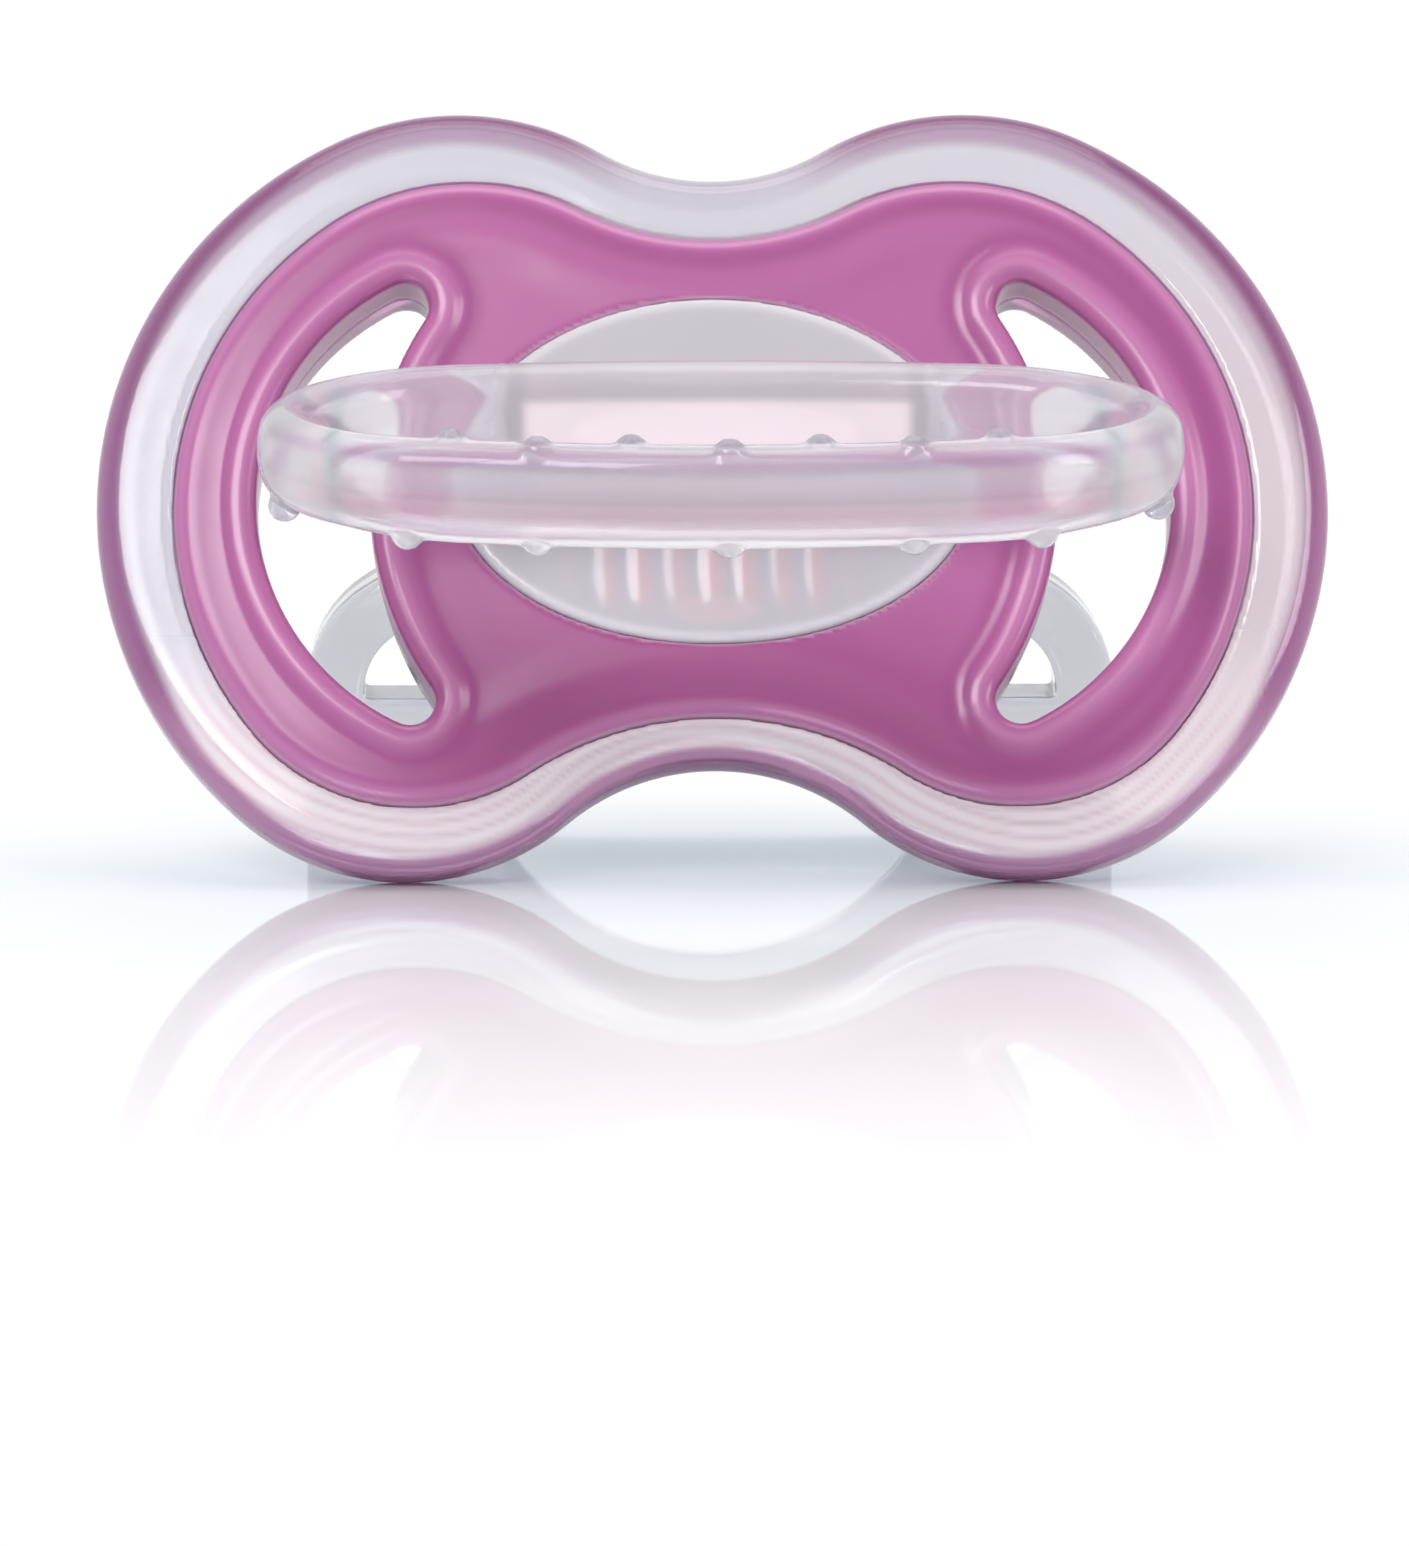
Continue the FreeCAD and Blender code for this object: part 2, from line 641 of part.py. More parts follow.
def fillet_part(name, base, radius, keep):
    """A Part fillet of one radius on the edges that keep() accepts."""
    doc.recompute()
    rounded = doc.addObject("Part::Fillet", name)
    rounded.Base = base
    chosen = [n for n, edge in enumerate(base.Shape.Edges, start=1) if keep(edge)]
    rounded.Edges = [(n, radius, radius) for n in chosen]
    return rounded


def make_rear_cover():
    """An oval cover over the flange, with the block that carries the hinge."""
    shell = oval_pad(
        "cover_shell",
        "cover_width",
        "cover_height",
        "dims.base_thickness + dims.cover_thickness",
        "dims.cover_thickness",
    )
    back = dim("base_thickness") + dim("cover_thickness")
    add_fillet(shell, "cover_edge", edges_at(shell.Shape, back), "dims.cover_thickness / 2")
    sunk = dim("cover_thickness") / 2
    boss_corner = Vector(-dim("boss_width") / 2, back - sunk, -dim("boss_height") / 2)
    block = primitive(
        "Box",
        "boss_block",
        FreeCAD.Placement(boss_corner, FreeCAD.Rotation()),
        Length="dims.boss_width",
        Width="dims.boss_back - dims.base_thickness - dims.cover_thickness / 2",
        Height="dims.boss_height",
    )
    boss = fillet_part("boss", block, dim("boss_height") / 5, lambda edge: edge.BoundBox.YMin > back)
    across = FreeCAD.Rotation(Vector(0, 1, 0), 90)
    bore = primitive(
        "Cylinder",
        "hinge_bore",
        FreeCAD.Placement(Vector(-dim("boss_width"), dim("hinge_depth"), 0), across),
        Radius="dims.hinge_bore_radius",
        Height="2 * dims.boss_width",
    )
    pocket = oval_pad(
        "flange_pocket",
        "flange_width",
        "flange_height",
        "dims.base_thickness + dims.flange_thickness",
        "dims.flange_thickness + 1",
    )
    solid = doc.addObject("Part::MultiFuse", "cover_solid")
    solid.Shapes = [shell, boss]
    holes = doc.addObject("Part::MultiFuse", "cover_holes")
    holes.Shapes = [bore, pocket]
    cover = doc.addObject("Part::Cut", "rear_cover")
    cover.Base = solid
    cover.Tool = holes
    cover.Placement = shield_frame()
    return cover


# ---------------------------------------------------------------- handle


def add_line(sketch, start, end):
    return sketch.addGeometry(Part.LineSegment(start, end), False)


def arch_centres():
    """Centres of the crown's arc and of the right shoulder's."""
    crown = Vector(0, dim("handle_crown") - dim("handle_crown_radius"), 0)
    shoulder_x = dim("handle_half_width") - dim("handle_shoulder_radius")
    reach = dim("handle_crown_radius") - dim("handle_shoulder_radius")
    shoulder = Vector(shoulder_x, crown.y + math.sqrt(reach**2 - shoulder_x**2), 0)
    return crown, shoulder


def arch(sketch, inset, level):
    """Crown, shoulders and upright sides down to a level. Returns the last two lines."""
    inner = inset != "0"
    step = dim(inset) if inner else 0.0
    less = f" - dims.{inset}" if inner else ""
    crown, shoulder = arch_centres()
    crown_radius = dim("handle_crown_radius") - step
    shoulder_radius = dim("handle_shoulder_radius") - step
    joint = towards(crown, shoulder, crown_radius)
    side_top = shoulder + Vector(shoulder_radius, 0, 0)
    side_low = Vector(side_top.x, level, 0)
    top = add_arc(sketch, crown, joint, flip(joint))
    right = add_arc(sketch, shoulder, side_top, joint)
    left = add_arc(sketch, flip(shoulder), flip(joint), flip(side_top))
    right_side = add_line(sketch, side_top, side_low)
    left_side = add_line(sketch, flip(side_top), flip(side_low))
    join(sketch, right, END, top, START)
    join(sketch, top, END, left, START)
    join(sketch, right, START, right_side, START)
    join(sketch, left, END, left_side, START)
    for side in (right_side, left_side):
        sketch.addConstraint(Sketcher.Constraint("Vertical", side))
    word = "inner" if inner else "outer"
    set_radius(sketch, top, word + "_crown", "dims.handle_crown_radius" + less)
    set_radius(sketch, right, word + "_right", "dims.handle_shoulder_radius" + less)
    set_radius(sketch, left, word + "_left", "dims.handle_shoulder_radius" + less)
    half_width = "dims.handle_half_width" + less
    across = Sketcher.Constraint("DistanceX", ORIGIN, START, right_side, START, side_top.x)
    dimension(sketch, across, word + "_right_side", half_width)
    across = Sketcher.Constraint("DistanceX", left_side, START, ORIGIN, START, side_top.x)
    dimension(sketch, across, word + "_left_side", half_width)
    crown_z = Sketcher.Constraint("DistanceY", ORIGIN, START, top, CENTRE, crown.y)
    dimension(sketch, crown_z, word + "_crown_z", "dims.handle_crown - dims.handle_crown_radius")
    return right_side, left_side


def close_level(sketch, right_side, left_side, level, name):
    """One level line between two upright sides."""
    x = sketch.Geometry[right_side].StartPoint.x
    bottom = add_line(sketch, Vector(x, level, 0), Vector(-x, level, 0))
    touch(sketch, right_side, END, bottom, START)
    touch(sketch, bottom, END, left_side, END)
    sketch.addConstraint(Sketcher.Constraint("Horizontal", bottom))
    drop = Sketcher.Constraint("DistanceY", ORIGIN, START, bottom, START, level)
    dimension(sketch, drop, name, f"dims.{name}")


def close_feet(sketch, right_side, left_side):
    """Two level soles with the notch's arc between them."""
    foot, rise, radius = dim("handle_foot"), dim("handle_notch_rise"), dim("handle_notch_radius")
    centre = Vector(0, foot + rise - radius, 0)
    corner = Vector(math.sqrt(radius**2 - (radius - rise) ** 2), foot, 0)
    x = sketch.Geometry[right_side].StartPoint.x
    right_sole = add_line(sketch, Vector(x, foot, 0), corner)
    notch = add_arc(sketch, centre, corner, flip(corner))
    left_sole = add_line(sketch, flip(corner), Vector(-x, foot, 0))
    touch(sketch, right_side, END, right_sole, START)
    touch(sketch, right_sole, END, notch, START)
    touch(sketch, notch, END, left_sole, START)
    touch(sketch, left_sole, END, left_side, END)
    for sole in (right_sole, left_sole):
        sketch.addConstraint(Sketcher.Constraint("Horizontal", sole))
    sketch.addConstraint(Sketcher.Constraint("PointOnObject", notch, CENTRE, -2))
    set_radius(sketch, notch, "notch", "dims.handle_notch_radius")
    drop = Sketcher.Constraint("DistanceY", ORIGIN, START, right_sole, START, foot)
    dimension(sketch, drop, "foot", "dims.handle_foot")
    depth = Sketcher.Constraint("DistanceY", ORIGIN, START, notch, CENTRE, centre.y)
    words = "dims.handle_foot + dims.handle_notch_rise - dims.handle_notch_radius"
    dimension(sketch, depth, "notch_z", words)


def boss_gap(sketch):
    """A rectangle over the crown that opens the arch for the boss."""
    half = dim("handle_gap") / 2
    top, low = half, -half / 2
    corners = [Vector(-half, low, 0), Vector(half, low, 0), Vector(half, top, 0), Vector(-half, top, 0)]
    lines = [add_line(sketch, corners[n], corners[(n + 1) % 4]) for n in range(4)]
    for n in range(4):
        touch(sketch, lines[n], END, lines[(n + 1) % 4], START)
        way = "Horizontal" if n % 2 == 0 else "Vertical"
        sketch.addConstraint(Sketcher.Constraint(way, lines[n]))
    right = Sketcher.Constraint("DistanceX", ORIGIN, START, lines[1], START, half)
    dimension(sketch, right, "right", "dims.handle_gap / 2")
    left = Sketcher.Constraint("DistanceX", lines[3], START, ORIGIN, START, half)
    dimension(sketch, left, "left", "dims.handle_gap / 2")
    up = Sketcher.Constraint("DistanceY", ORIGIN, START, lines[2], START, top)
    dimension(sketch, up, "top", "dims.handle_gap / 2")
    down = Sketcher.Constraint("DistanceY", lines[0], START, ORIGIN, START, -low)
    dimension(sketch, down, "low", "dims.handle_gap / 4")


def make_handle_plate():
    body = add_body("handle_plate")
    outline = add_sketch(body, "handle_outline", depth="dims.handle_thickness / 2")
    close_feet(outline, *arch(outline, "0", dim("handle_foot")))
    close_level(
        outline, *arch(outline, "handle_band", dim("handle_bar_top")), dim("handle_bar_top"), "handle_bar_top"
    )
    add_pad(body, "handle_pad", outline, "dims.handle_thickness")
    half = dim("handle_thickness") / 2
    rims = edges_at(body.Shape, half) + edges_at(body.Shape, -half)
    add_fillet(body, "handle_edges", rims, "dims.handle_edge_round")
    gap = add_sketch(body, "boss_gap_outline", depth="-dims.handle_thickness")
    boss_gap(gap)
    add_pocket(body, "boss_gap", gap, "2 * dims.handle_thickness")
    return body


def make_handle():
    """A bridge-shaped clear handle: an arch open at the hinge, a cross bar and two feet."""
    plate = make_handle_plate()
    across = FreeCAD.Rotation(Vector(0, 1, 0), 90)
    eye_start = dim("handle_gap") / 2
    pieces = [plate]
    for word, side in (("right", 1), ("left", -1)):
        eye_x = eye_start if side > 0 else -eye_start - dim("eye_length")
        eye_place = FreeCAD.Placement(Vector(eye_x, 0, 0), across)
        eye = {"Radius": "dims.eye_radius", "Height": "dims.eye_length"}
        pieces.append(primitive("Cylinder", "eye_" + word, eye_place, **eye))
        reach = dim("peg_length") + dim("eye_length") / 2
        peg_x = eye_start - dim("peg_length") if side > 0 else -eye_start + dim("peg_length") - reach
        peg_place = FreeCAD.Placement(Vector(peg_x, 0, 0), across)
        peg = {"Radius": "dims.peg_radius", "Height": "dims.peg_length + dims.eye_length / 2"}
        pieces.append(primitive("Cylinder", "peg_" + word, peg_place, **peg))
    handle = doc.addObject("Part::MultiFuse", "handle")
    handle.Shapes = pieces
    hinge = in_frame(shield_frame(), 0, dim("hinge_depth"), 0)
    handle.Placement = FreeCAD.Placement(hinge.Base, FreeCAD.Rotation(SIDEWAYS, dim("handle_angle")))
    return handle


# ---------------------------------------------------------------- writing


def check_document():
    doc.recompute()
    bad = [o.Name for o in doc.Objects if "Invalid" in o.State or "Error" in o.State]
    if bad:
        raise RuntimeError("failed objects: " + ", ".join(bad))


def write_parts(parts):
    for name, part in parts.items():
        part.Label = name
    check_document()
    for name, part in parts.items():
        if part.Shape.isNull() or not part.Shape.isValid() or not part.Shape.Solids:
            raise RuntimeError(f"{name} has no valid solid")
    os.makedirs("parts", exist_ok=True)
    for part in parts.values():
        part.Shape.exportStep(f"parts/{part.Label}.step")
        print(part.Label, len(part.Shape.Solids), "solid", round(part.Shape.Volume, 1), "mm3")


def main():
    base = make_shield_base()
    plate = make_shield_plate()
    for body in (base, plate):
        body.Placement = shield_frame()
    plug = make_neck_plug()
    mouthpiece = make_mouthpiece(plug)
    cover = make_rear_cover()
    handle = make_handle()
    parts = {
        "shield_base": base,
        "shield_plate": plate,
        "mouthpiece": mouthpiece,
        "neck_plug": plug,
        "rear_cover": cover,
        "handle": handle,
    }
    write_parts(parts)


main()
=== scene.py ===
import math

import bpy
import numpy as np
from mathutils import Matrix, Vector

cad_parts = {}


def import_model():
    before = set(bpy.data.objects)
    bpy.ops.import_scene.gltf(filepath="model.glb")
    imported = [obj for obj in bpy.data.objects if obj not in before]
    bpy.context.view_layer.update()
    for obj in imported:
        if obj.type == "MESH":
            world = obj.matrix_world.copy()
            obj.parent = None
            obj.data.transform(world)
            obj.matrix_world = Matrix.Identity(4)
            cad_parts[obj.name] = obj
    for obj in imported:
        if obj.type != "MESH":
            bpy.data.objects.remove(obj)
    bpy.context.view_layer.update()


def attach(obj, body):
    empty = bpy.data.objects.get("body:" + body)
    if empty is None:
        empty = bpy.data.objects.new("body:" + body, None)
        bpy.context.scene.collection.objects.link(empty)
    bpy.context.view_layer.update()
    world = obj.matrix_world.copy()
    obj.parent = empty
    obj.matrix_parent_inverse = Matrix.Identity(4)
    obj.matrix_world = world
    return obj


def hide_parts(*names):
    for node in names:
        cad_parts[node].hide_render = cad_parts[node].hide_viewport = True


# Shapes are built in millimetres, in the frames of the CAD part: the leaning shield's, the
# drooping loop's and the handle's, each turned about X. MM takes them to metres. In the shield's
# frame X is across, Y runs from the base's face to the back, and Z runs up the shield from the
# middle of the disc. Sizes follow the CAD part's closely. The ribs, the groove and the small
# gaps between pieces are this model's own.
MM = 0.001
LEAN = math.radians(22.0)
DISC_MIDDLE = (0.0, 7.644, 19.82)
HINGE_DEPTH = 9.8
SHIELD = {"origin": DISC_MIDDLE, "turn": -LEAN}
LOOP = {
    "origin": (0.0, DISC_MIDDLE[1] - 16.4, DISC_MIDDLE[2] + 2.05),
    "turn": math.radians(6.9),
}
HANDLE = {
    "origin": (
        0.0,
        DISC_MIDDLE[1] + HINGE_DEPTH * math.cos(LEAN),
        DISC_MIDDLE[2] - HINGE_DEPTH * math.sin(LEAN),
    ),
    "turn": math.radians(5.0),
}

# base and plate
FAR_IN_FRONT = -9.0
FIT_GAP = 0.04
HOLE_GAP = 0.05
VENT_STEP = 0.12
BASE_BACK = 4.6
PLATE_FRONT = -0.6
PLATE_SEAT = 2.2
RIDGE_RADIUS = 0.78
RIDGE_FROM_VENT = 0.85
RIDGE_DEPTH = -0.22

# mouthpiece
DISC_FRONT = -0.85
DISC_BACK = 0.38
SPIGOT_BACK = 5.6
RIB_PITCH = 1.7
RIB_HEIGHT = 0.08
NECK_HALF_WIDTH = 10.0
NECK_TIP = -7.9
NECK_RISE = 0.8
LOOP_HALF_HEIGHT = 2.35
LOOP_HALF_WALL = 1.4
LOOP_ROUND = 1.25
NUB_RADIUS = 0.78
NUB_PITCH = 4.2
NUB_LEVEL = 2.0
NUB_ROW_SHIFT = 0.4
LAST_TOP_NUB = 3

# rear cover and handle
COVER_HALF_WIDTH, COVER_HALF_HEIGHT = 13.2, 9.3
COVER_FRONT, COVER_BACK = 4.62, 7.0
GROOVE_INSET, GROOVE_RADIUS = 2.6, 0.35
BOSS_HALF_WIDTH, BOSS_HALF_HEIGHT = 6.6, 2.8
BOSS_FRONT, BOSS_BACK = 5.5, 12.4
BORE_RADIUS = 1.25
HANDLE_HALF_WIDTH = 20.1
HANDLE_HALF_THICKNESS = 2.3
HANDLE_BAND = 2.9
HANDLE_BAR_TOP = -8.6
HANDLE_FOOT = -16.07

# points on an arc of an outline, on the loop's ends, on a small corner and round an oval
ARC_POINTS, LOOP_END_POINTS, CORNER_POINTS, OVAL_POINTS = 48, 72, 12, 240
SAME_POINT = 1e-12  # squared length below which an edge of an outline is skipped

# sockets of a colour mix node
MIX_FACTOR, MIX_FIRST, MIX_SECOND = 0, 6, 7
MIX_RESULT = 2

# linear colours
TINTS = {
    # base tints: painted light across the clear base, and painted pink where the pink plate shows
    # through it at the vent walls and along the rim
    "base_left": (0.62, 0.60, 0.68),
    "base_right": (0.77, 0.67, 0.735),
    "base_low": (1.0, 0.92, 0.96),
    "base_top": (0.75, 0.75, 0.81),
    "base_streak": (0.74, 0.50, 0.62),
    "base_vent_wall": (0.36, 0.10, 0.27),
    "rim_line": (0.27, 0.06, 0.21),
    "rim_line_low": (0.50, 0.22, 0.42),
    # painted shade and painted highlights on the pink plate: darker low in the middle, inside the edge
    # and round the vents, lighter on the lip, the vents' ridges and the edges
    "plate": (0.385, 0.108, 0.285),
    "plate_low_shade": (0.300, 0.062, 0.205),
    "plate_border_highlight": (0.50, 0.20, 0.40),
    "plate_border_shade": (0.28, 0.055, 0.195),
    "plate_edge": (0.66, 0.40, 0.56),
    "vent_valley_shade": (0.28, 0.052, 0.195),
    "vent_ridge_highlight": (0.50, 0.21, 0.40),
    "loop": (0.82, 0.78, 0.83),
    "loop_pink_band": (0.86, 0.66, 0.73),
    # painted light: lighter along the loop's lower edge
    "loop_bottom_light": (0.97, 0.95, 0.98),
    "loop_seam": (0.66, 0.52, 0.61),
    "loop_top_band": (0.60, 0.45, 0.62),
    "nub": (0.42, 0.39, 0.44),
    "loop_end": (0.70, 0.72, 0.78),
    "end_pink_streak": (0.86, 0.66, 0.71),
    "end_teal_streak": (0.50, 0.64, 0.64),
    "neck": (0.60, 0.55, 0.605),
    # painted light: the neck's window, bright as light comes through the neck
    "neck_window_light": (0.97, 0.85, 0.91),
    "disc": (0.62, 0.59, 0.645),
    # painted light: the ribs' highlights and the pink plate seen through them, and a painted highlight
    # on the disc's edge
    "disc_rib": (0.76, 0.56, 0.61),
    "disc_ledge": (0.74, 0.62, 0.67),
    "disc_edge_highlight": (0.86, 0.82, 0.88),
}

# ---------------------------------------------------------------- outlines


def arc_points(centre, radius, start, end, count=ARC_POINTS):
    angles = np.linspace(start, end, count)
    across = centre[0] + radius * np.cos(angles)
    up = centre[1] + radius * np.sin(angles)
    return np.stack([across, up], 1)


def heading(start, end):
    return math.atan2(end[1] - start[1], end[0] - start[0])


def past(angle, start):
    """The angle, or the same one turns later, that comes after the start."""
    while angle < start:
        angle += 2 * math.pi
    return angle


def circles_meet(first, first_radius, second, second_radius):
    """Meeting points of two circles, the one on the right of first to second first."""
    gap = math.dist(first, second)
    along = (gap**2 + first_radius**2 - second_radius**2) / (2 * gap)
    across = math.sqrt(max(first_radius**2 - along**2, 0.0))
    ux, uy = (second[0] - first[0]) / gap, (second[1] - first[1]) / gap
    foot_x, foot_y = first[0] + ux * along, first[1] + uy * along
    return [(foot_x + uy * across * side, foot_y - ux * across * side) for side in (1, -1)]


def mirrored(points):
    """A closed outline from its right half."""
    return np.vstack([points, points[::-1] * [-1, 1]])


def bow_tie(top, top_radius, low, low_radius, side_radius, top_waist, low_waist):
    """Two pairs of lobes joined at a waist, all arcs tangent."""
    side = circles_meet(top, side_radius - top_radius, low, side_radius - low_radius)[0]
    upper = (0.0, top[1] + math.sqrt((top_waist + top_radius) ** 2 - top[0] ** 2))
    lower = (0.0, low[1] - math.sqrt((low_waist + low_radius) ** 2 - low[0] ** 2))
    low_start = heading(side, low)
    half = [
        arc_points(upper, top_waist, -math.pi / 2, heading(upper, top)),
        arc_points(top, top_radius, heading(top, upper), heading(side, top)),
        arc_points(side, side_radius, heading(side, top), low_start),
        arc_points(low, low_radius, past(low_start, -math.pi), heading(low, lower)),
        arc_points(lower, low_waist, heading(lower, low), math.pi / 2),
    ]
    return mirrored(np.vstack(half))


def crescent():
    """The right-hand vent."""
    outer, outer_radius = (9.7, -1.95), 12.4
    inner, inner_radius = (-0.1, -1.8), 16.75
    end_radius = 1.2
    ends = circles_meet(outer, outer_radius - end_radius, inner, inner_radius + end_radius)
    top, low = sorted(ends, key=lambda point: -point[1])
    top_start, low_start = heading(outer, top), heading(inner, low) + math.pi
    top_end = past(heading(inner, top) + math.pi, top_start)
    low_end = past(heading(outer, low), low_start)
    return np.vstack(
        [
            arc_points(outer, outer_radius, heading(outer, low), top_start),
            arc_points(top, end_radius, top_start, top_end, CORNER_POINTS),
            arc_points(inner, inner_radius, heading(inner, top), heading(inner, low)),
            arc_points(low, end_radius, low_start, low_end, CORNER_POINTS),
        ]
    )


def loop_outline():
    """Two rounded ends, a front wall that bulges and a flatter wall at the neck."""
    end, end_radius, near_radius, far_radius = (11.5, 0.0), 10.0, 53.0, 90.0
    near = (0.0, math.sqrt((near_radius - end_radius) ** 2 - end[0] ** 2))
    far = (0.0, -math.sqrt((far_radius - end_radius) ** 2 - end[0] ** 2))
    near_joint, far_joint = heading(near, end), heading(far, end)
    half = [
        arc_points(near, near_radius, -math.pi / 2, near_joint),
        arc_points(end, end_radius, near_joint, far_joint, LOOP_END_POINTS),
        arc_points(far, far_radius, far_joint, math.pi / 2),
    ]
    return mirrored(np.vstack(half))


def oval(half_width, half_height, middle=0.0, egg=0.0):
    """An ellipse. With egg above 0 it is wider at its lower end."""
    angles = np.linspace(0, 2 * math.pi, OVAL_POINTS, endpoint=False)
    rise = half_height * np.sin(angles)
    return np.stack([half_width * np.cos(angles) * (1 - egg * rise), middle + rise], 1)


def arch(inset):
    """Crown and shoulder of the handle, from the middle to the upright side."""
    crown_top, crown_radius, shoulder_radius = 2.1, 31.8, 6.4
    crown = (0.0, crown_top - crown_radius)
    reach = crown_radius - shoulder_radius
    shoulder_x = HANDLE_HALF_WIDTH - shoulder_radius
    shoulder = (shoulder_x, crown[1] + math.sqrt(reach**2 - shoulder_x**2))
    joint = heading(crown, shoulder)
    return np.vstack(
        [
            arc_points(crown, crown_radius - inset, math.pi / 2, joint),
            arc_points(shoulder, shoulder_radius - inset, joint, 0.0),
        ]
    )


def handle_outline():
    """The arch down to the feet, with a round notch between them."""
    rise, radius = 5.5, 12.2
    notch = (0.0, HANDLE_FOOT + rise - radius)
    corner = math.atan2(radius - rise, math.sqrt(radius**2 - (radius - rise) ** 2))
    foot = [[HANDLE_HALF_WIDTH, HANDLE_FOOT]]
    return mirrored(np.vstack([arch(0.0), foot, arc_points(notch, radius, corner, math.pi / 2)]))


def handle_hole():
    """The opening between the arch's band and the cross bar."""
    bar = [[HANDLE_HALF_WIDTH - HANDLE_BAND, HANDLE_BAR_TOP], [0.0, HANDLE_BAR_TOP]]
    return mirrored(np.vstack([arch(HANDLE_BAND), bar]))


BASE_OUTLINE = bow_tie(
    top=(12.4, 4.9),
    top_radius=13.5,
    low=(14.9, -8.2),
    low_radius=12.0,
    side_radius=20.7,
    top_waist=10.5,
    low_waist=10.9,
)
PLATE_OUTLINE = bow_tie(
    top=(11.9, 2.75),
    top_radius=11.7,
    low=(14.5, -7.2),
    low_radius=9.9,
    side_radius=17.8,
    top_waist=14.0,
    low_waist=16.2,
)
DISC_OUTLINE = oval(12.6, 8.7, middle=-0.5, egg=0.006)
SPIGOT_HOLE = oval(9.4, 5.6)
SPIGOT_OUTLINE = oval(9.35, 5.55)
PLUG_OUTLINE = oval(7.0, 1.5, middle=0.8)
COVER_OUTLINE = oval(COVER_HALF_WIDTH, COVER_HALF_HEIGHT)

# ---------------------------------------------------------------- distance fields


def outline_distance(outline, x, z):
    """Signed distance to a closed outline, below 0 inside."""
    away = np.full(np.broadcast(x, z).shape, np.inf)
    inside = np.zeros(away.shape, bool)
    for (ax, az), (bx, bz) in zip(outline, np.roll(outline, -1, 0)):
        ex, ez = bx - ax, bz - az
        length = ex * ex + ez * ez
        if length < SAME_POINT:
            continue
        along = np.clip(((x - ax) * ex + (z - az) * ez) / length, 0, 1)
        np.minimum(away, (x - ax - along * ex) ** 2 + (z - az - along * ez) ** 2, out=away)
        if az != bz:
            inside ^= ((az > z) != (bz > z)) & (x < ex * (z - az) / ez + ax)
    return np.where(inside, -np.sqrt(away), np.sqrt(away))


def slab(flat, depth, front, back, front_round, back_round):
    """An outline's distance made a plate from front to back, with rounded edges."""
    edge = np.where(depth < (front + back) / 2, front_round, back_round)
    side = flat + edge
    ends = np.maximum(front - depth, depth - back) + edge
    outside = np.hypot(np.maximum(side, 0), np.maximum(ends, 0))
    return np.minimum(np.maximum(side, ends), 0) + outside - edge


def vents_distance(x, z):
    return outline_distance(crescent(), np.abs(x), z)


def soft_union(a, b, width):
    mix = np.clip(0.5 + 0.5 * (b - a) / width, 0, 1)
    return b + (a - b) * mix - width * mix * (1 - mix)


def soft_cut(a, b, width):
    """a without b, with a soft edge."""
    return -soft_union(-a, b, width)


def grid(low, high, step):
    axes = [np.arange(a, b + step, step) for a, b in zip(low, high)]
    return [axes[0][:, None, None], axes[1][None, :, None], axes[2][None, None, :]]


def turned(frame, x, y, z):
    """Points of the world, or of grid axes, seen in a frame turned about X."""
    cos, sin = math.cos(frame["turn"]), math.sin(frame["turn"])
    y, z = y - frame["origin"][1], z - frame["origin"][2]
    return x, y * cos + z * sin, z * cos - y * sin


def raised(frame, y, z):
    """Depth and height in the world of points in a frame turned about X."""
    cos, sin = math.cos(frame["turn"]), math.sin(frame["turn"])
    return frame["origin"][1] + y * cos - z * sin, frame["origin"][2] + y * sin + z * cos


def placed(frame, points):
    """Points of a frame turned about X, in the world."""
    x, y, z = points.T
    return np.stack([x, *raised(frame, y, z)], 1)


def near_disc(outline, x, z):
    """Distance to an outline on the disc, from a table, as the grid's points lie askew to it."""
    step, half_width, half_height = 0.2, 14.0, 12.0
    across = np.arange(-half_width, half_width + step, step)[:, None]
    up = np.arange(-half_height, half_height + step, step)[None, :]
    table = outline_distance(outline, across, up)
    last = np.array(table.shape) - 1.001
    u = np.clip((x + half_width) / step, 0, last[0])
    v = np.clip((z + half_height) / step, 0, last[1])
    u, v = np.broadcast_arrays(u, v)
    i, j = u.astype(int), v.astype(int)
    u, v = u - i, v - j
    left = table[i, j] * (1 - v) + table[i, j + 1] * v
    right = table[i + 1, j] * (1 - v) + table[i + 1, j + 1] * v
    return left * (1 - u) + right * u


# ---------------------------------------------------------------- meshes from fields


def net_quads(field, vertex_of):
    """One quad for each grid edge that crosses the surface."""
    inside = field < 0
    quads = []
    for axis in range(3):
        first, second = [(1, 2), (2, 0), (0, 1)][axis]
        low = [slice(1, -1)] * 3
        low[axis] = slice(0, -1)
        high = list(low)
        high[axis] = slice(1, None)
        here, there = inside[tuple(low)], inside[tuple(high)]
        start = np.ones(3, int)
        start[axis] = 0
        for out_first, cells in ((True, here & ~there), (False, ~here & there)):
            spots = np.argwhere(cells) + start
            step_a, step_b = np.eye(3, dtype=int)[first], np.eye(3, dtype=int)[second]
            ring = [spots - step_a - step_b, spots - step_b, spots, spots - step_a]
            if not out_first:
                ring = ring[::-1]
            quads.append(np.stack([vertex_of[tuple(corner.T)] for corner in ring], 1))
    return np.vstack(quads)


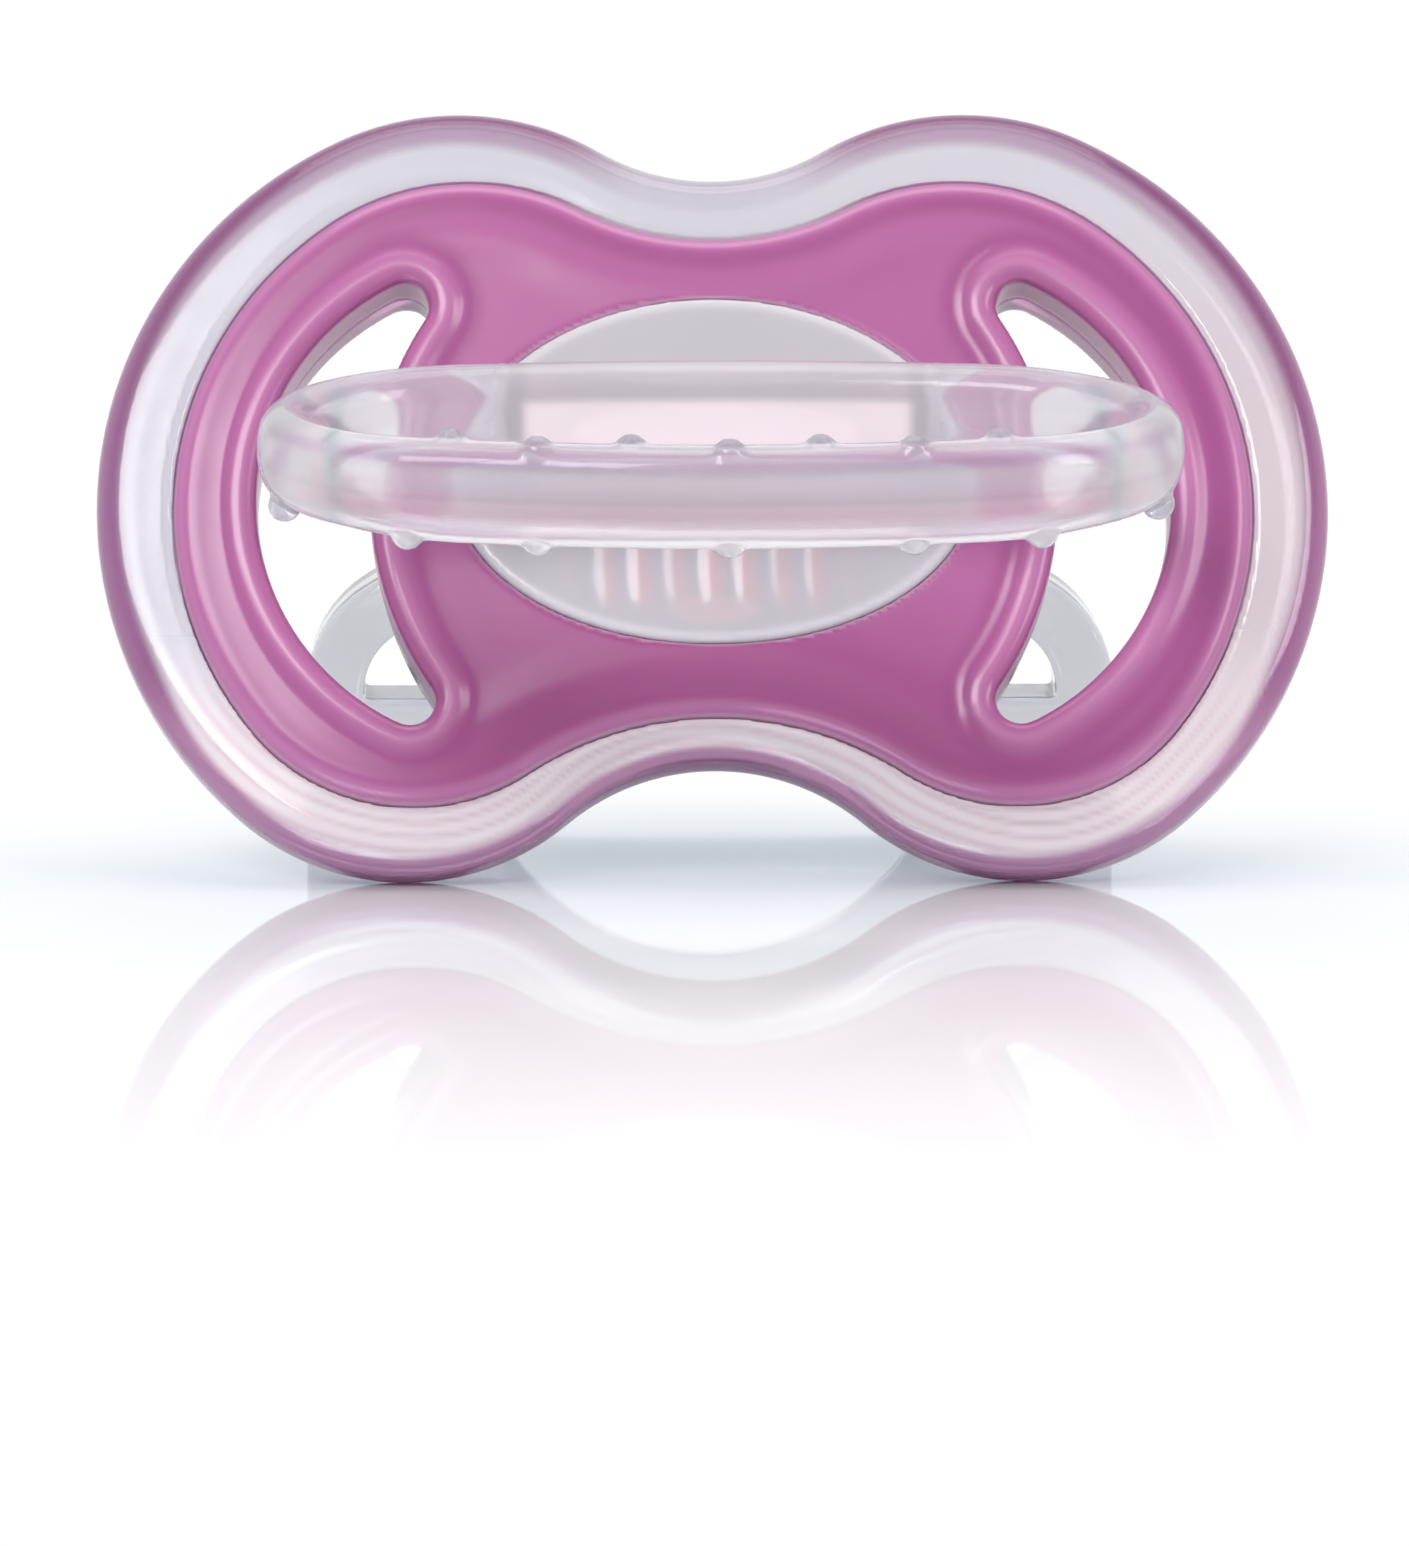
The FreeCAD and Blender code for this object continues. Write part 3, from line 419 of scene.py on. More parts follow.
def net_points(field):
    """The middle of the crossings in each cell, in grid steps, and each cell's point number."""
    inside = field < 0
    cells = tuple(n - 1 for n in field.shape)
    total = np.zeros(cells + (3,), np.float32)
    count = np.zeros(cells, np.float32)
    for axis in range(3):
        low = [slice(None)] * 3
        low[axis] = slice(0, -1)
        high = list(low)
        high[axis] = slice(1, None)
        a, b = field[tuple(low)], field[tuple(high)]
        spots = np.argwhere(inside[tuple(low)] != inside[tuple(high)])
        start = a[tuple(spots.T)]
        place = spots.astype(np.float32)
        place[:, axis] += start / (start - b[tuple(spots.T)])
        others = [n for n in range(3) if n != axis]
        for da in (0, 1):
            for db in (0, 1):
                cell = spots.copy()
                cell[:, others[0]] -= da
                cell[:, others[1]] -= db
                fits = ((cell >= 0) & (cell < cells)).all(1)
                where = tuple(cell[fits].T)
                np.add.at(total, where, place[fits])
                np.add.at(count, where, 1)
    used = count > 0
    vertex_of = np.full(cells, -1)
    vertex_of[used] = np.arange(used.sum())
    return total[used] / count[used][:, None], vertex_of


def sampled(field, spots):
    """Linear interpolation in the field, with its slope."""
    base = np.clip(np.floor(spots).astype(int), 0, np.array(field.shape) - 2)
    part = spots - base
    value = np.zeros(len(spots))
    slope = np.zeros((len(spots), 3))
    for corner in np.ndindex(2, 2, 2):
        corner = np.array(corner)
        share = np.where(corner == 1, part, 1 - part)
        height = field[tuple((base + corner).T)]
        value += height * share.prod(1)
        for axis in range(3):
            rest = np.delete(share, axis, 1).prod(1)
            slope[:, axis] += height * rest * (1 if corner[axis] else -1)
    return value, slope


def mesh_from_field(name, field, low, step, frame):
    """A smooth closed mesh of the field's zero surface, and its points in the frame."""
    points, vertex_of = net_points(field)
    points = points.astype(float)
    passes, longest_move, least_slope = 3, 0.6, 0.05 * step**2
    for _ in range(passes):
        value, slope = sampled(field, points)
        size = np.maximum((slope**2).sum(1), least_slope)
        points -= np.clip(slope * (value / size)[:, None], -longest_move, longest_move)
    quads = net_quads(field, vertex_of)
    local = points * step + np.array(low)
    world = placed(frame, local) * MM
    mesh = bpy.data.meshes.new(name)
    mesh.vertices.add(len(world))
    mesh.vertices.foreach_set("co", world.ravel())
    mesh.loops.add(quads.size)
    mesh.loops.foreach_set("vertex_index", quads.ravel())
    mesh.polygons.add(len(quads))
    mesh.polygons.foreach_set("loop_start", np.arange(len(quads)) * 4)
    mesh.polygons.foreach_set("use_smooth", np.ones(len(quads), bool))
    mesh.update()
    mesh.validate()
    piece = bpy.data.objects.new(name, mesh)
    bpy.context.scene.collection.objects.link(piece)
    return piece, local


def paint(piece, colours, clearness=1.0):
    """Stores one colour per vertex for the materials, with its clearness as the alpha."""
    layer = piece.data.color_attributes.new("tint", "FLOAT_COLOR", "POINT")
    solid = np.column_stack([np.clip(colours, 0, 1), np.broadcast_to(clearness, len(colours))])
    layer.data.foreach_set("color", solid.astype(np.float32).ravel())


def blended(amount, first, second):
    """Colours between two, by an amount for each vertex."""
    return first + amount[:, None] * (np.array(second) - first)


def step_up(value, start, end):
    """Smooth step from 0 to 1."""
    part = np.clip((value - start) / (end - start), 0, 1)
    return part * part * (3 - 2 * part)


def bump_at(value, centre, width):
    return np.exp(-(((value - centre) / width) ** 2))


# ---------------------------------------------------------------- colours


def plain(name, local):
    """One tint for every vertex."""
    return np.tile(TINTS[name], (len(local), 1))


def layered(colour, layers):
    """Lays tints over a colour one after another, each by its own amount."""
    for amount, name in layers:
        colour = blended(amount, colour, TINTS[name])
    return colour


def low_streaks(x, z, inward):
    """How strong the wavy streaks are that follow the rim low on the base."""
    sway = 1.5 * np.sin(x * 0.45)
    wave = 0.5 + 0.5 * np.sin(inward * 9 + sway)
    return 0.55 * wave**2 * step_up(-z, start=9, end=14)


def rim_line(x, z, inward):
    """How strong the painted pink rim line is, which stands in for the pink plate seen through the
    clear rim's edge: wider at the sides, finer below, faint at the upper waist.
    """
    width = 1.0 + 0.2 * step_up(np.abs(x), start=14, end=28) - 0.42 * step_up(-z, start=9, end=15)
    edge = 1 - step_up(inward, start=width * 0.75, end=width * 1.35)
    waist = 1 - 0.75 * step_up(z, start=10, end=13) * (1 - step_up(np.abs(x), start=3, end=8))
    return edge * waist


def base_tint(local):
    """Painted light on the clear base: whitish on the left, warmer on the right and below, grey at the
    top, with a painted pink rim line and painted dark pink vent walls where the pink plate shows
    through.
    """
    x, z = local[:, 0], local[:, 2]
    inward = -outline_distance(BASE_OUTLINE, x, z)
    layers = (
        # painted light: warmer on the right, lighter below, greyer at the top
        (step_up(x, start=-14, end=18), "base_right"),
        (step_up(-z, start=6, end=17), "base_low"),
        (0.8 * step_up(z, start=2, end=15), "base_top"),
        (low_streaks(x, z, inward), "base_streak"),
        # painted shade: dark pink on the vent walls, the pink plate seen through them
        (1 - step_up(vents_distance(x, z), start=0.3, end=1.2), "base_vent_wall"),
    )
    colour = layered(plain("base_left", local), layers)
    # painted pink rim line, the pink plate seen through the clear edge
    low_part = step_up(-z, start=10, end=16)
    line_colour = blended(low_part, plain("rim_line", local), TINTS["rim_line_low"])
    return blended(rim_line(x, z, inward), colour, line_colour)


def base_clearness(local):
    """Clearer at the top than low down."""
    return 0.78 - 0.26 * step_up(-local[:, 2], start=6, end=13)


def plate_tint(local):
    """Pink, with painted shade deepening it low in the middle, a painted highlight on the lip and a
    painted shade line inside each edge, a painted highlight on each vent's ridge and painted shade in
    its valley, and painted highlights along the outer edge and round the disc.
    """
    x, z = local[:, 0], local[:, 2]
    inward = -outline_distance(PLATE_OUTLINE, x, z)
    vent = vents_distance(x, z)
    outer_edge = 1 - step_up(inward, start=0.0, end=0.25)
    disc_edge_highlight = 1 - step_up(outline_distance(DISC_OUTLINE, x, z), start=0.0, end=0.2)
    # painted shade: darker low in the middle of the plate, where less light falls
    low_middle_shade = step_up(-z, start=4, end=12) * (1 - step_up(np.abs(x), start=8, end=20))
    layers = (
        (low_middle_shade, "plate_low_shade"),
        # painted light and shade: lighter lip and darker line inside the edge, darker valley and
        # lighter ridge round each vent, lighter outer edge and disc edge
        (0.6 * bump_at(inward, centre=0.35, width=0.45), "plate_border_highlight"),
        (0.7 * bump_at(inward, centre=1.35, width=0.5), "plate_border_shade"),
        (0.6 * bump_at(vent, centre=2.2, width=0.5), "vent_valley_shade"),
        (0.6 * bump_at(vent, centre=0.9, width=0.35), "vent_ridge_highlight"),
        (np.maximum(outer_edge, disc_edge_highlight), "plate_edge"),
    )
    return layered(plain("plate", local), layers)


def silicone_tint(local):
    """Bands along the loop's height, lighter low down as painted light, streaks at its ends, and a
    pale window at the neck painted bright as light coming through the neck.
    """
    x, y, z = local.T
    wide = np.abs(x)
    loop = 1 - step_up(y, start=4.0, end=6.0)
    neck = step_up(y, start=6.0, end=7.0) * (1 - step_up(wide, start=9.0, end=10.2))
    window = neck * (1 - step_up(wide, start=8.9, end=9.5)) * (1 - step_up(z, start=0.5, end=1.0))
    layers = (
        (0.8 * loop * bump_at(z, centre=-0.75, width=0.45), "loop_pink_band"),
        # painted light along the loop's lower edge
        (loop * (1 - step_up(z, start=-1.6, end=-1.15)), "loop_bottom_light"),
        (0.7 * loop * bump_at(z, centre=0.0, width=0.16), "loop_seam"),
        (0.9 * loop * bump_at(z, centre=1.65, width=0.26), "loop_top_band"),
        (loop * step_up(z, start=2.38, end=2.48), "nub"),
        (0.6 * step_up(wide, start=18.8, end=20.4), "loop_end"),
        (0.55 * loop * bump_at(wide, centre=18.6, width=0.4), "end_pink_streak"),
        (0.65 * loop * bump_at(wide, centre=17.8, width=0.4), "end_teal_streak"),
        (neck, "neck"),
        # painted light: the window at the neck made bright
        (window, "neck_window_light"),
    )
    return disc_tint(local, layered(plain("loop", local), layers))


def disc_tint(local, colour):
    """Grey, with ribs painted pinkish and lighter as their highlights and the pink plate seen through
    them, a pale ledge below them and a painted highlight along the edge.
    """
    x, depth, rise = turned(SHIELD, *placed(LOOP, local).T)
    on_disc = step_up(depth, start=-1.9, end=-1.2)
    rib = np.clip(disc_relief(x, rise) / RIB_HEIGHT, 0, 1)
    ledge_middle, ledge_half_width, ledge_half_height = -7.6, 2.4, 0.8
    from_ledge = np.hypot(x / ledge_half_width, (rise - ledge_middle) / ledge_half_height)
    ledge = 1 - step_up(from_ledge, start=0.7, end=1.1)
    inward = -outline_distance(DISC_OUTLINE, x, rise)
    layers = (
        (on_disc, "disc"),
        # painted light: ribs lighter and pinker
        (on_disc * rib, "disc_rib"),
        (0.6 * on_disc * ledge, "disc_ledge"),
        # painted highlight along the disc's rounded edge
        (0.7 * on_disc * bump_at(inward, centre=0.3, width=0.22), "disc_edge_highlight"),
    )
    return layered(colour, layers)


def silicone_clearness(local):
    """Clear round the loop, milky at the neck and on the disc."""
    x, y, _ = local.T
    depth = turned(SHIELD, *placed(LOOP, local).T)[1]
    neck = step_up(y, start=5.8, end=7.4) * (1 - step_up(np.abs(x), start=8.6, end=10.6))
    return 0.72 - 0.44 * np.maximum(neck, step_up(depth, start=-6.8, end=-6.0))


# ---------------------------------------------------------------- pieces


def recess(flat, depth, back):
    """What a hollow sunk from the face takes away, down to a depth."""
    return slab(flat, depth, front=FAR_IN_FRONT, back=back, front_round=0.1, back_round=0.1)


def shield_base():
    """The clear base: rounded rims, a hollow for the plate, two vents and the spigot's hole."""
    step = 0.24
    low, high = (-31.0, -0.6, -21.0), (31.0, 5.4, 19.4)
    x, y, z = grid(low, high, step)
    rim = outline_distance(BASE_OUTLINE, x, z)
    seat = outline_distance(PLATE_OUTLINE, x, z)
    hole = outline_distance(SPIGOT_HOLE, x, z)
    field = slab(rim, y, front=0.0, back=BASE_BACK, front_round=1.7, back_round=2.1)
    field = soft_cut(field, recess(seat - FIT_GAP, y, PLATE_SEAT + FIT_GAP), width=0.12)
    field = soft_cut(field, vents_distance(x, z) - VENT_STEP, width=0.3)
    field = soft_cut(field, hole - HOLE_GAP, width=0.1)
    piece, local = mesh_from_field("shield_base_clear", field, low, step, SHIELD)
    paint(piece, base_tint(local), base_clearness(local))
    return piece


def shield_plate():
    """The pink plate: a faint swell inside its edge, a ridge round each vent, the disc's recess."""
    step = 0.22
    low, high = (-27.4, -2.0, -19.0), (27.4, 2.8, 16.0)
    x, y, z = grid(low, high, step)
    edge = outline_distance(PLATE_OUTLINE, x, z)
    vents = vents_distance(x, z)
    disc = outline_distance(DISC_OUTLINE, x, z)
    hole = outline_distance(SPIGOT_HOLE, x, z)
    swell = 0.10 * bump_at(-edge, centre=3.1, width=1.1)
    field = slab(edge, y + swell, front=PLATE_FRONT, back=PLATE_SEAT, front_round=1.1, back_round=0.25)
    ridge = np.hypot(vents - RIDGE_FROM_VENT, y - RIDGE_DEPTH) - RIDGE_RADIUS
    field = soft_union(field, ridge, width=0.45)
    field = soft_cut(field, vents, width=0.3)
    field = soft_cut(field, recess(disc, y, DISC_BACK + FIT_GAP), width=0.12)
    field = soft_cut(field, hole - HOLE_GAP, width=0.1)
    piece, local = mesh_from_field("shield_plate_pink", field, low, step, SHIELD)
    paint(piece, plate_tint(local))
    return piece


def loop_walk():
    """Spots along the middle of the loop's wall, from the middle of the front, and their normals."""
    line = loop_outline()[: ARC_POINTS + LOOP_END_POINTS]
    shortest = 1e-9
    edge = np.diff(line, axis=0)
    length = np.maximum(np.hypot(edge[:, 0], edge[:, 1]), shortest)
    outward = np.stack([edge[:, 1], -edge[:, 0]], 1) / length[:, None]
    middle = (line[:-1] + line[1:]) / 2 - outward * LOOP_HALF_WALL
    walked = np.hypot(*np.diff(middle, axis=0, prepend=middle[:1]).T)
    return middle, outward, np.cumsum(walked)


def nub_spots():
    """A close row on top of the front wall, and every second spot all round underneath."""
    middle, outward, travelled = loop_walk()
    spots = []
    for count in range(1 + int(travelled[-1] / NUB_PITCH)):
        at = int(np.argmin(np.abs(travelled - count * NUB_PITCH)))
        second = count % 2 == 0
        x, y = middle[at] + outward[at] * (NUB_ROW_SHIFT if second else -NUB_ROW_SHIFT)
        for side in (x, -x) if count else (x,):
            if count <= LAST_TOP_NUB:
                spots.append((side, y, NUB_LEVEL))
            if second:
                spots.append((side, y, -NUB_LEVEL))
    return spots


def add_nubs(field, low, step, x, y, z):
    """Small domes, each worked out only near its own place."""
    reach = 1.4
    cells = int(2 * reach / step) + 2
    for spot in nub_spots():
        starts = [max(int((middle - reach - edge) / step), 0) for middle, edge in zip(spot, low)]
        near = tuple(slice(start, start + cells) for start in starts)
        across = (x[near[0]] - spot[0]) ** 2 + (y[:, near[1]] - spot[1]) ** 2
        away = np.sqrt(across + (z[:, :, near[2]] - spot[2]) ** 2)
        field[near] = soft_union(field[near], away - NUB_RADIUS, width=0.2)
    return field


def fade_out(value, end, width):
    """Falls smoothly from 1 to 0 about an end."""
    return 1 / (1 + np.exp((value - end) / width))


def disc_relief(x, z):
    """Upright ribs low on the disc, slightly wavy and uneven, as depth towards the face side."""
    sway = 0.6 * np.sin(z * 0.9)
    wave = 0.5 + 0.5 * np.cos(2 * math.pi * x / RIB_PITCH + sway)
    low_band = fade_out(z, end=-2.6, width=0.4) * fade_out(-z, end=7.3, width=0.25)
    across = fade_out(np.abs(x), end=5.6, width=0.8)
    uneven = 0.8 + 0.2 * np.sin(1.3 * x + 1.0)
    return RIB_HEIGHT * wave * low_band * across * uneven


def loop_wall(x, y, z):
    """The loop's wall with rounded edges, drawn in above and below at the two ends."""
    ring = outline_distance(loop_outline(), x[:, :, 0], y[:, :, 0])[:, :, None]
    wall = np.abs(ring + LOOP_HALF_WALL) - LOOP_HALF_WALL
    below, above = 0.17, 0.07
    taper = np.where(z < 0, below, above) * z**2 * step_up(np.abs(x), start=12.0, end=18.0)
    half = LOOP_HALF_HEIGHT
    return slab(wall + taper, z, -half, half, front_round=LOOP_ROUND, back_round=LOOP_ROUND)


def ribbed_disc(x, depth, rise):
    """The disc with its ribs, and the spigot behind it."""
    face = depth + disc_relief(x, rise)
    flat = near_disc(DISC_OUTLINE, x, rise)
    disc = slab(flat, face, front=DISC_FRONT, back=DISC_BACK, front_round=0.25, back_round=0.1)
    flat = near_disc(SPIGOT_OUTLINE, x, rise)
    spigot = slab(flat, depth, front=0.2, back=SPIGOT_BACK, front_round=0.1, back_round=0.2)
    return soft_union(disc, spigot, width=0.1)


def neck_tube(x, depth, rise):
    """The neck from the disc out to the loop, thinner and a little lower towards its tip."""
    root, length = 0.5, 8.2
    along = np.clip((-depth + root) / length, 0, 1)
    centre = NECK_RISE - 0.5 * along + 1.2 * along * (1 - along)
    half_height = 2.8 - 1.1 * along
    round_by = half_height * 0.9
    side = np.abs(x) - NECK_HALF_WIDTH + round_by
    thick = np.abs(rise - centre) - half_height + round_by
    outside = np.hypot(np.maximum(side, 0), np.maximum(thick, 0))
    tube = outside + np.minimum(np.maximum(side, thick), 0) - round_by
    return np.maximum(tube, np.maximum(NECK_TIP - depth, depth - 0.2))


def mouthpiece():
    """The silicone loop with its nubs, neck, disc and spigot, all one piece."""
    step = 0.22
    low, high = (-22.6, -12.8, -13.6), (22.6, 27.2, 8.0)
    x, y, z = grid(low, high, step)
    loop = add_nubs(loop_wall(x, y, z), low, step, x, y, z)
    _, depth, rise = turned(SHIELD, x, *raised(LOOP, y, z))
    body = soft_union(ribbed_disc(x, depth, rise), neck_tube(x, depth, rise), width=1.0)
    field = soft_union(loop, body, width=0.8)
    piece, local = mesh_from_field("mouthpiece_silicone", field, low, step, LOOP)
    paint(piece, silicone_tint(local), silicone_clearness(local))
    return piece


def neck_plug():
    """The pale plug that shows through the neck."""
    step = 0.25
    low, high = (-8.0, -5.6, -1.7), (8.0, 6.8, 3.3)
    x, y, z = grid(low, high, step)
    flat = outline_distance(PLUG_OUTLINE, x, z)
    field = slab(flat, y, front=-4.6, back=5.8, front_round=1.0, back_round=0.2)
    piece, _ = mesh_from_field("neck_plug_pale", field, low, step, SHIELD)
    return piece


def rear_cover():
    """The rounded cover on the back, with a groove round it and the boss that holds the handle."""
    step = 0.25
    low, high = (-14.0, 4.0, -10.2), (14.0, 13.2, 10.2)
    x, y, z = grid(low, high, step)
    flat = outline_distance(COVER_OUTLINE, x, z)
    shell = slab(flat, y, COVER_FRONT, COVER_BACK, front_round=0.2, back_round=1.0)
    groove = np.hypot(flat + GROOVE_INSET, y - COVER_BACK) - GROOVE_RADIUS
    shell = soft_cut(shell, groove, width=0.3)
    flat = np.maximum(np.abs(x) - BOSS_HALF_WIDTH, np.abs(z) - BOSS_HALF_HEIGHT)
    boss = slab(flat, y, BOSS_FRONT, BOSS_BACK, front_round=0.2, back_round=0.9)
    field = soft_union(shell, boss, width=0.7)
    field = soft_cut(field, np.hypot(y - HINGE_DEPTH, z) - BORE_RADIUS, width=0.12)
    piece, _ = mesh_from_field("rear_cover_clear", field, low, step, SHIELD)
    return piece


def pin_pair(x, y, z, radius, middle, half_length):
    """A cylinder along the hinge on either side."""
    return np.maximum(np.hypot(y, z) - radius, np.abs(np.abs(x) - middle) - half_length)


def handle():
    """The clear handle: an arch with a bar, open at the top for the boss, hung on two pegs."""
    step = 0.22
    low, high = (-20.8, -3.0, -16.8), (20.8, 3.0, 2.9)
    x, y, z = grid(low, high, step)
    outer = outline_distance(handle_outline(), x, z)
    hole = outline_distance(handle_hole(), x, z)
    flat = -soft_union(-outer, hole, width=0.5)
    half = HANDLE_HALF_THICKNESS
    field = slab(flat, y, -half, half, front_round=0.6, back_round=0.6)
    gap_half_width, gap_foot = 7.0, -3.5
    field = soft_cut(field, np.maximum(np.abs(x) - gap_half_width, gap_foot - z), width=0.3)
    eyes = pin_pair(x, y, z, radius=2.2, middle=8.3, half_length=1.3)
    pegs = pin_pair(x, y, z, radius=1.2, middle=6.2, half_length=2.2)
    field = soft_union(field, eyes, width=0.5)
    field = soft_union(field, pegs, width=0.1)
    piece, _ = mesh_from_field("handle_clear", field, low, step, HANDLE)
    return piece


# ---------------------------------------------------------------- materials


def new_material(name):
    material = bpy.data.materials.new(name)
    material.use_nodes = True
    nodes, links = material.node_tree.nodes, material.node_tree.links
    return material, nodes, links, nodes["Principled BSDF"]


def set_inputs(node, **values):
    for name, value in values.items():
        node.inputs[name.replace("_", " ")].default_value = value


def painted(nodes, links, scale, low):
    """The vertex colours, darkened here and there by a little noise."""
    node = nodes.new("ShaderNodeAttribute")
    node.attribute_name = "tint"
    factor = spread(nodes, links, noise(nodes, links, scale), low, 1.0)
    mix = nodes.new("ShaderNodeMix")
    mix.data_type = "RGBA"
    mix.blend_type = "MULTIPLY"
    mix.inputs[MIX_FACTOR].default_value = 1.0
    links.new(node.outputs["Color"], mix.inputs[MIX_FIRST])
    links.new(factor, mix.inputs[MIX_SECOND])
    return mix.outputs[MIX_RESULT]


def noise(nodes, links, scale):
    place = nodes.new("ShaderNodeTexCoord")
    node = nodes.new("ShaderNodeTexNoise")
    set_inputs(node, Scale=scale, Detail=2.0)
    links.new(place.outputs["Object"], node.inputs["Vector"])
    return node.outputs["Fac"]


def mottled(nodes, links, scale, first, second):
    """Two colours mixed by noise."""
    node = nodes.new("ShaderNodeMix")
    node.data_type = "RGBA"
    links.new(noise(nodes, links, scale), node.inputs[MIX_FACTOR])
    node.inputs[MIX_FIRST].default_value = (*first, 1.0)
    node.inputs[MIX_SECOND].default_value = (*second, 1.0)
    return node.outputs[MIX_RESULT]


def spread(nodes, links, value, low, high):
    """A factor from 0 to 1 turned into a range of plain values."""
    node = nodes.new("ShaderNodeMapRange")
    set_inputs(node, To_Min=low, To_Max=high)
    links.new(value, node.inputs["Value"])
    return node.outputs["Result"]


def roughen(nodes, links, shader, scale, low, high):
    """A roughness that wanders between two values."""
    links.new(spread(nodes, links, noise(nodes, links, scale), low, high), shader.inputs["Roughness"])


def fine_bump(nodes, links, shader, scale):
    bump = nodes.new("ShaderNodeBump")
    set_inputs(bump, Strength=0.05, Distance=0.0002)
    links.new(noise(nodes, links, scale), bump.inputs["Height"])
    links.new(bump.outputs["Normal"], shader.inputs["Normal"])


def drive_clearness(nodes, links, shader):
    """Takes the share of light let through from the vertex colours' alpha."""
    node = nodes.new("ShaderNodeAttribute")
    node.attribute_name = "tint"
    links.new(node.outputs["Alpha"], shader.inputs["Transmission Weight"])


def base_material():
    material, nodes, links, shader = new_material("clear plastic, tinted rim")
    set_inputs(shader, IOR=1.49)
    drive_clearness(nodes, links, shader)
    links.new(painted(nodes, links, scale=120.0, low=0.96), shader.inputs["Base Color"])
    roughen(nodes, links, shader, scale=900.0, low=0.08, high=0.16)
    fine_bump(nodes, links, shader, scale=160.0)
    return material


def clear_material():
    material, nodes, links, shader = new_material("clear plastic")
    set_inputs(shader, IOR=1.49, Transmission_Weight=0.9)
    grey, darker_grey = (0.74, 0.75, 0.80), (0.64, 0.65, 0.70)
    links.new(mottled(nodes, links, 120.0, grey, darker_grey), shader.inputs["Base Color"])
    roughen(nodes, links, shader, scale=900.0, low=0.03, high=0.08)
    fine_bump(nodes, links, shader, scale=160.0)
    return material


def pink_material():
    material, nodes, links, shader = new_material("pink gloss plastic")
    set_inputs(shader, IOR=1.5, Subsurface_Weight=0.12, Subsurface_Scale=0.002)
    links.new(painted(nodes, links, scale=60.0, low=0.92), shader.inputs["Base Color"])
    roughen(nodes, links, shader, scale=400.0, low=0.20, high=0.28)
    fine_bump(nodes, links, shader, scale=240.0)
    return material


def silicone_material():
    material, nodes, links, shader = new_material("translucent silicone")
    set_inputs(shader, IOR=1.41)
    drive_clearness(nodes, links, shader)
    links.new(painted(nodes, links, scale=150.0, low=0.93), shader.inputs["Base Color"])
    roughen(nodes, links, shader, scale=500.0, low=0.12, high=0.18)
    fine_bump(nodes, links, shader, scale=300.0)
    return material


def pale_material():
    material, nodes, links, shader = new_material("pale plastic")
    set_inputs(shader, IOR=1.45)
    pale_pink, deeper_pink = (0.95, 0.80, 0.86), (0.92, 0.76, 0.83)
    links.new(mottled(nodes, links, 150.0, pale_pink, deeper_pink), shader.inputs["Base Color"])
    roughen(nodes, links, shader, scale=500.0, low=0.35, high=0.5)
    return material


def mixed_shaders(nodes, links, factor, first, second):
    node = nodes.new("ShaderNodeMixShader")
    links.new(factor, node.inputs[0])
    links.new(first, node.inputs[1])
    links.new(second, node.inputs[2])
    return node.outputs["Shader"]


def polish(nodes, links, place):
    """The share of gloss, which fades out towards the viewer."""
    parts = nodes.new("ShaderNodeSeparateXYZ")
    links.new(place.outputs["Object"], parts.inputs["Vector"])
    fade = nodes.new("ShaderNodeMapRange")
    set_inputs(fade, From_Min=-0.105, From_Max=0.004, To_Min=0.0, To_Max=0.50)
    links.new(parts.outputs["Y"], fade.inputs["Value"])
    return fade.outputs["Result"]


def far_off(nodes, links, place):
    """0 round the object and 1 beyond it."""
    middle = (0.0, -0.030, 0.0)
    reach = nodes.new("ShaderNodeVectorMath")
    reach.operation = "DISTANCE"
    reach.inputs[1].default_value = middle
    links.new(place.outputs["Object"], reach.inputs[0])
    far = nodes.new("ShaderNodeMapRange")
    far.interpolation_type = "SMOOTHSTEP"
    set_inputs(far, From_Min=0.045, From_Max=0.075)
    links.new(reach.outputs["Value"], far.inputs["Value"])
    return far.outputs["Result"]


def floor_material():
    """A pale floor, polished round the object, that turns to plain white further off."""
    material, nodes, links, shader = new_material("white floor")
    nodes.remove(shader)
    place = nodes.new("ShaderNodeTexCoord")
    matt = nodes.new("ShaderNodeBsdfDiffuse")
    set_inputs(matt, Color=(0.755, 0.745, 0.755, 1.0))
    gloss = nodes.new("ShaderNodeBsdfGlossy")
    set_inputs(gloss, Color=(0.82, 0.92, 1.0, 1.0), Roughness=0.03)
    glow = nodes.new("ShaderNodeEmission")
    set_inputs(glow, Strength=1.02)
    gloss_share = polish(nodes, links, place)
    near = mixed_shaders(nodes, links, gloss_share, matt.outputs["BSDF"], gloss.outputs["BSDF"])
    white_share = far_off(nodes, links, place)
    whole = mixed_shaders(nodes, links, white_share, near, glow.outputs["Emission"])
    links.new(whole, nodes["Material Output"].inputs["Surface"])
    return material


# ---------------------------------------------------------------- setting


def add_floor():
    half = 3.0
    corners = [(-half, -half, 0), (half, -half, 0), (half, half, 0), (-half, half, 0)]
    mesh = bpy.data.meshes.new("floor")
    mesh.from_pydata(corners, [], [(0, 1, 2, 3)])
    floor = bpy.data.objects.new("floor", mesh)
    bpy.context.scene.collection.objects.link(floor)
    mesh.materials.append(floor_material())


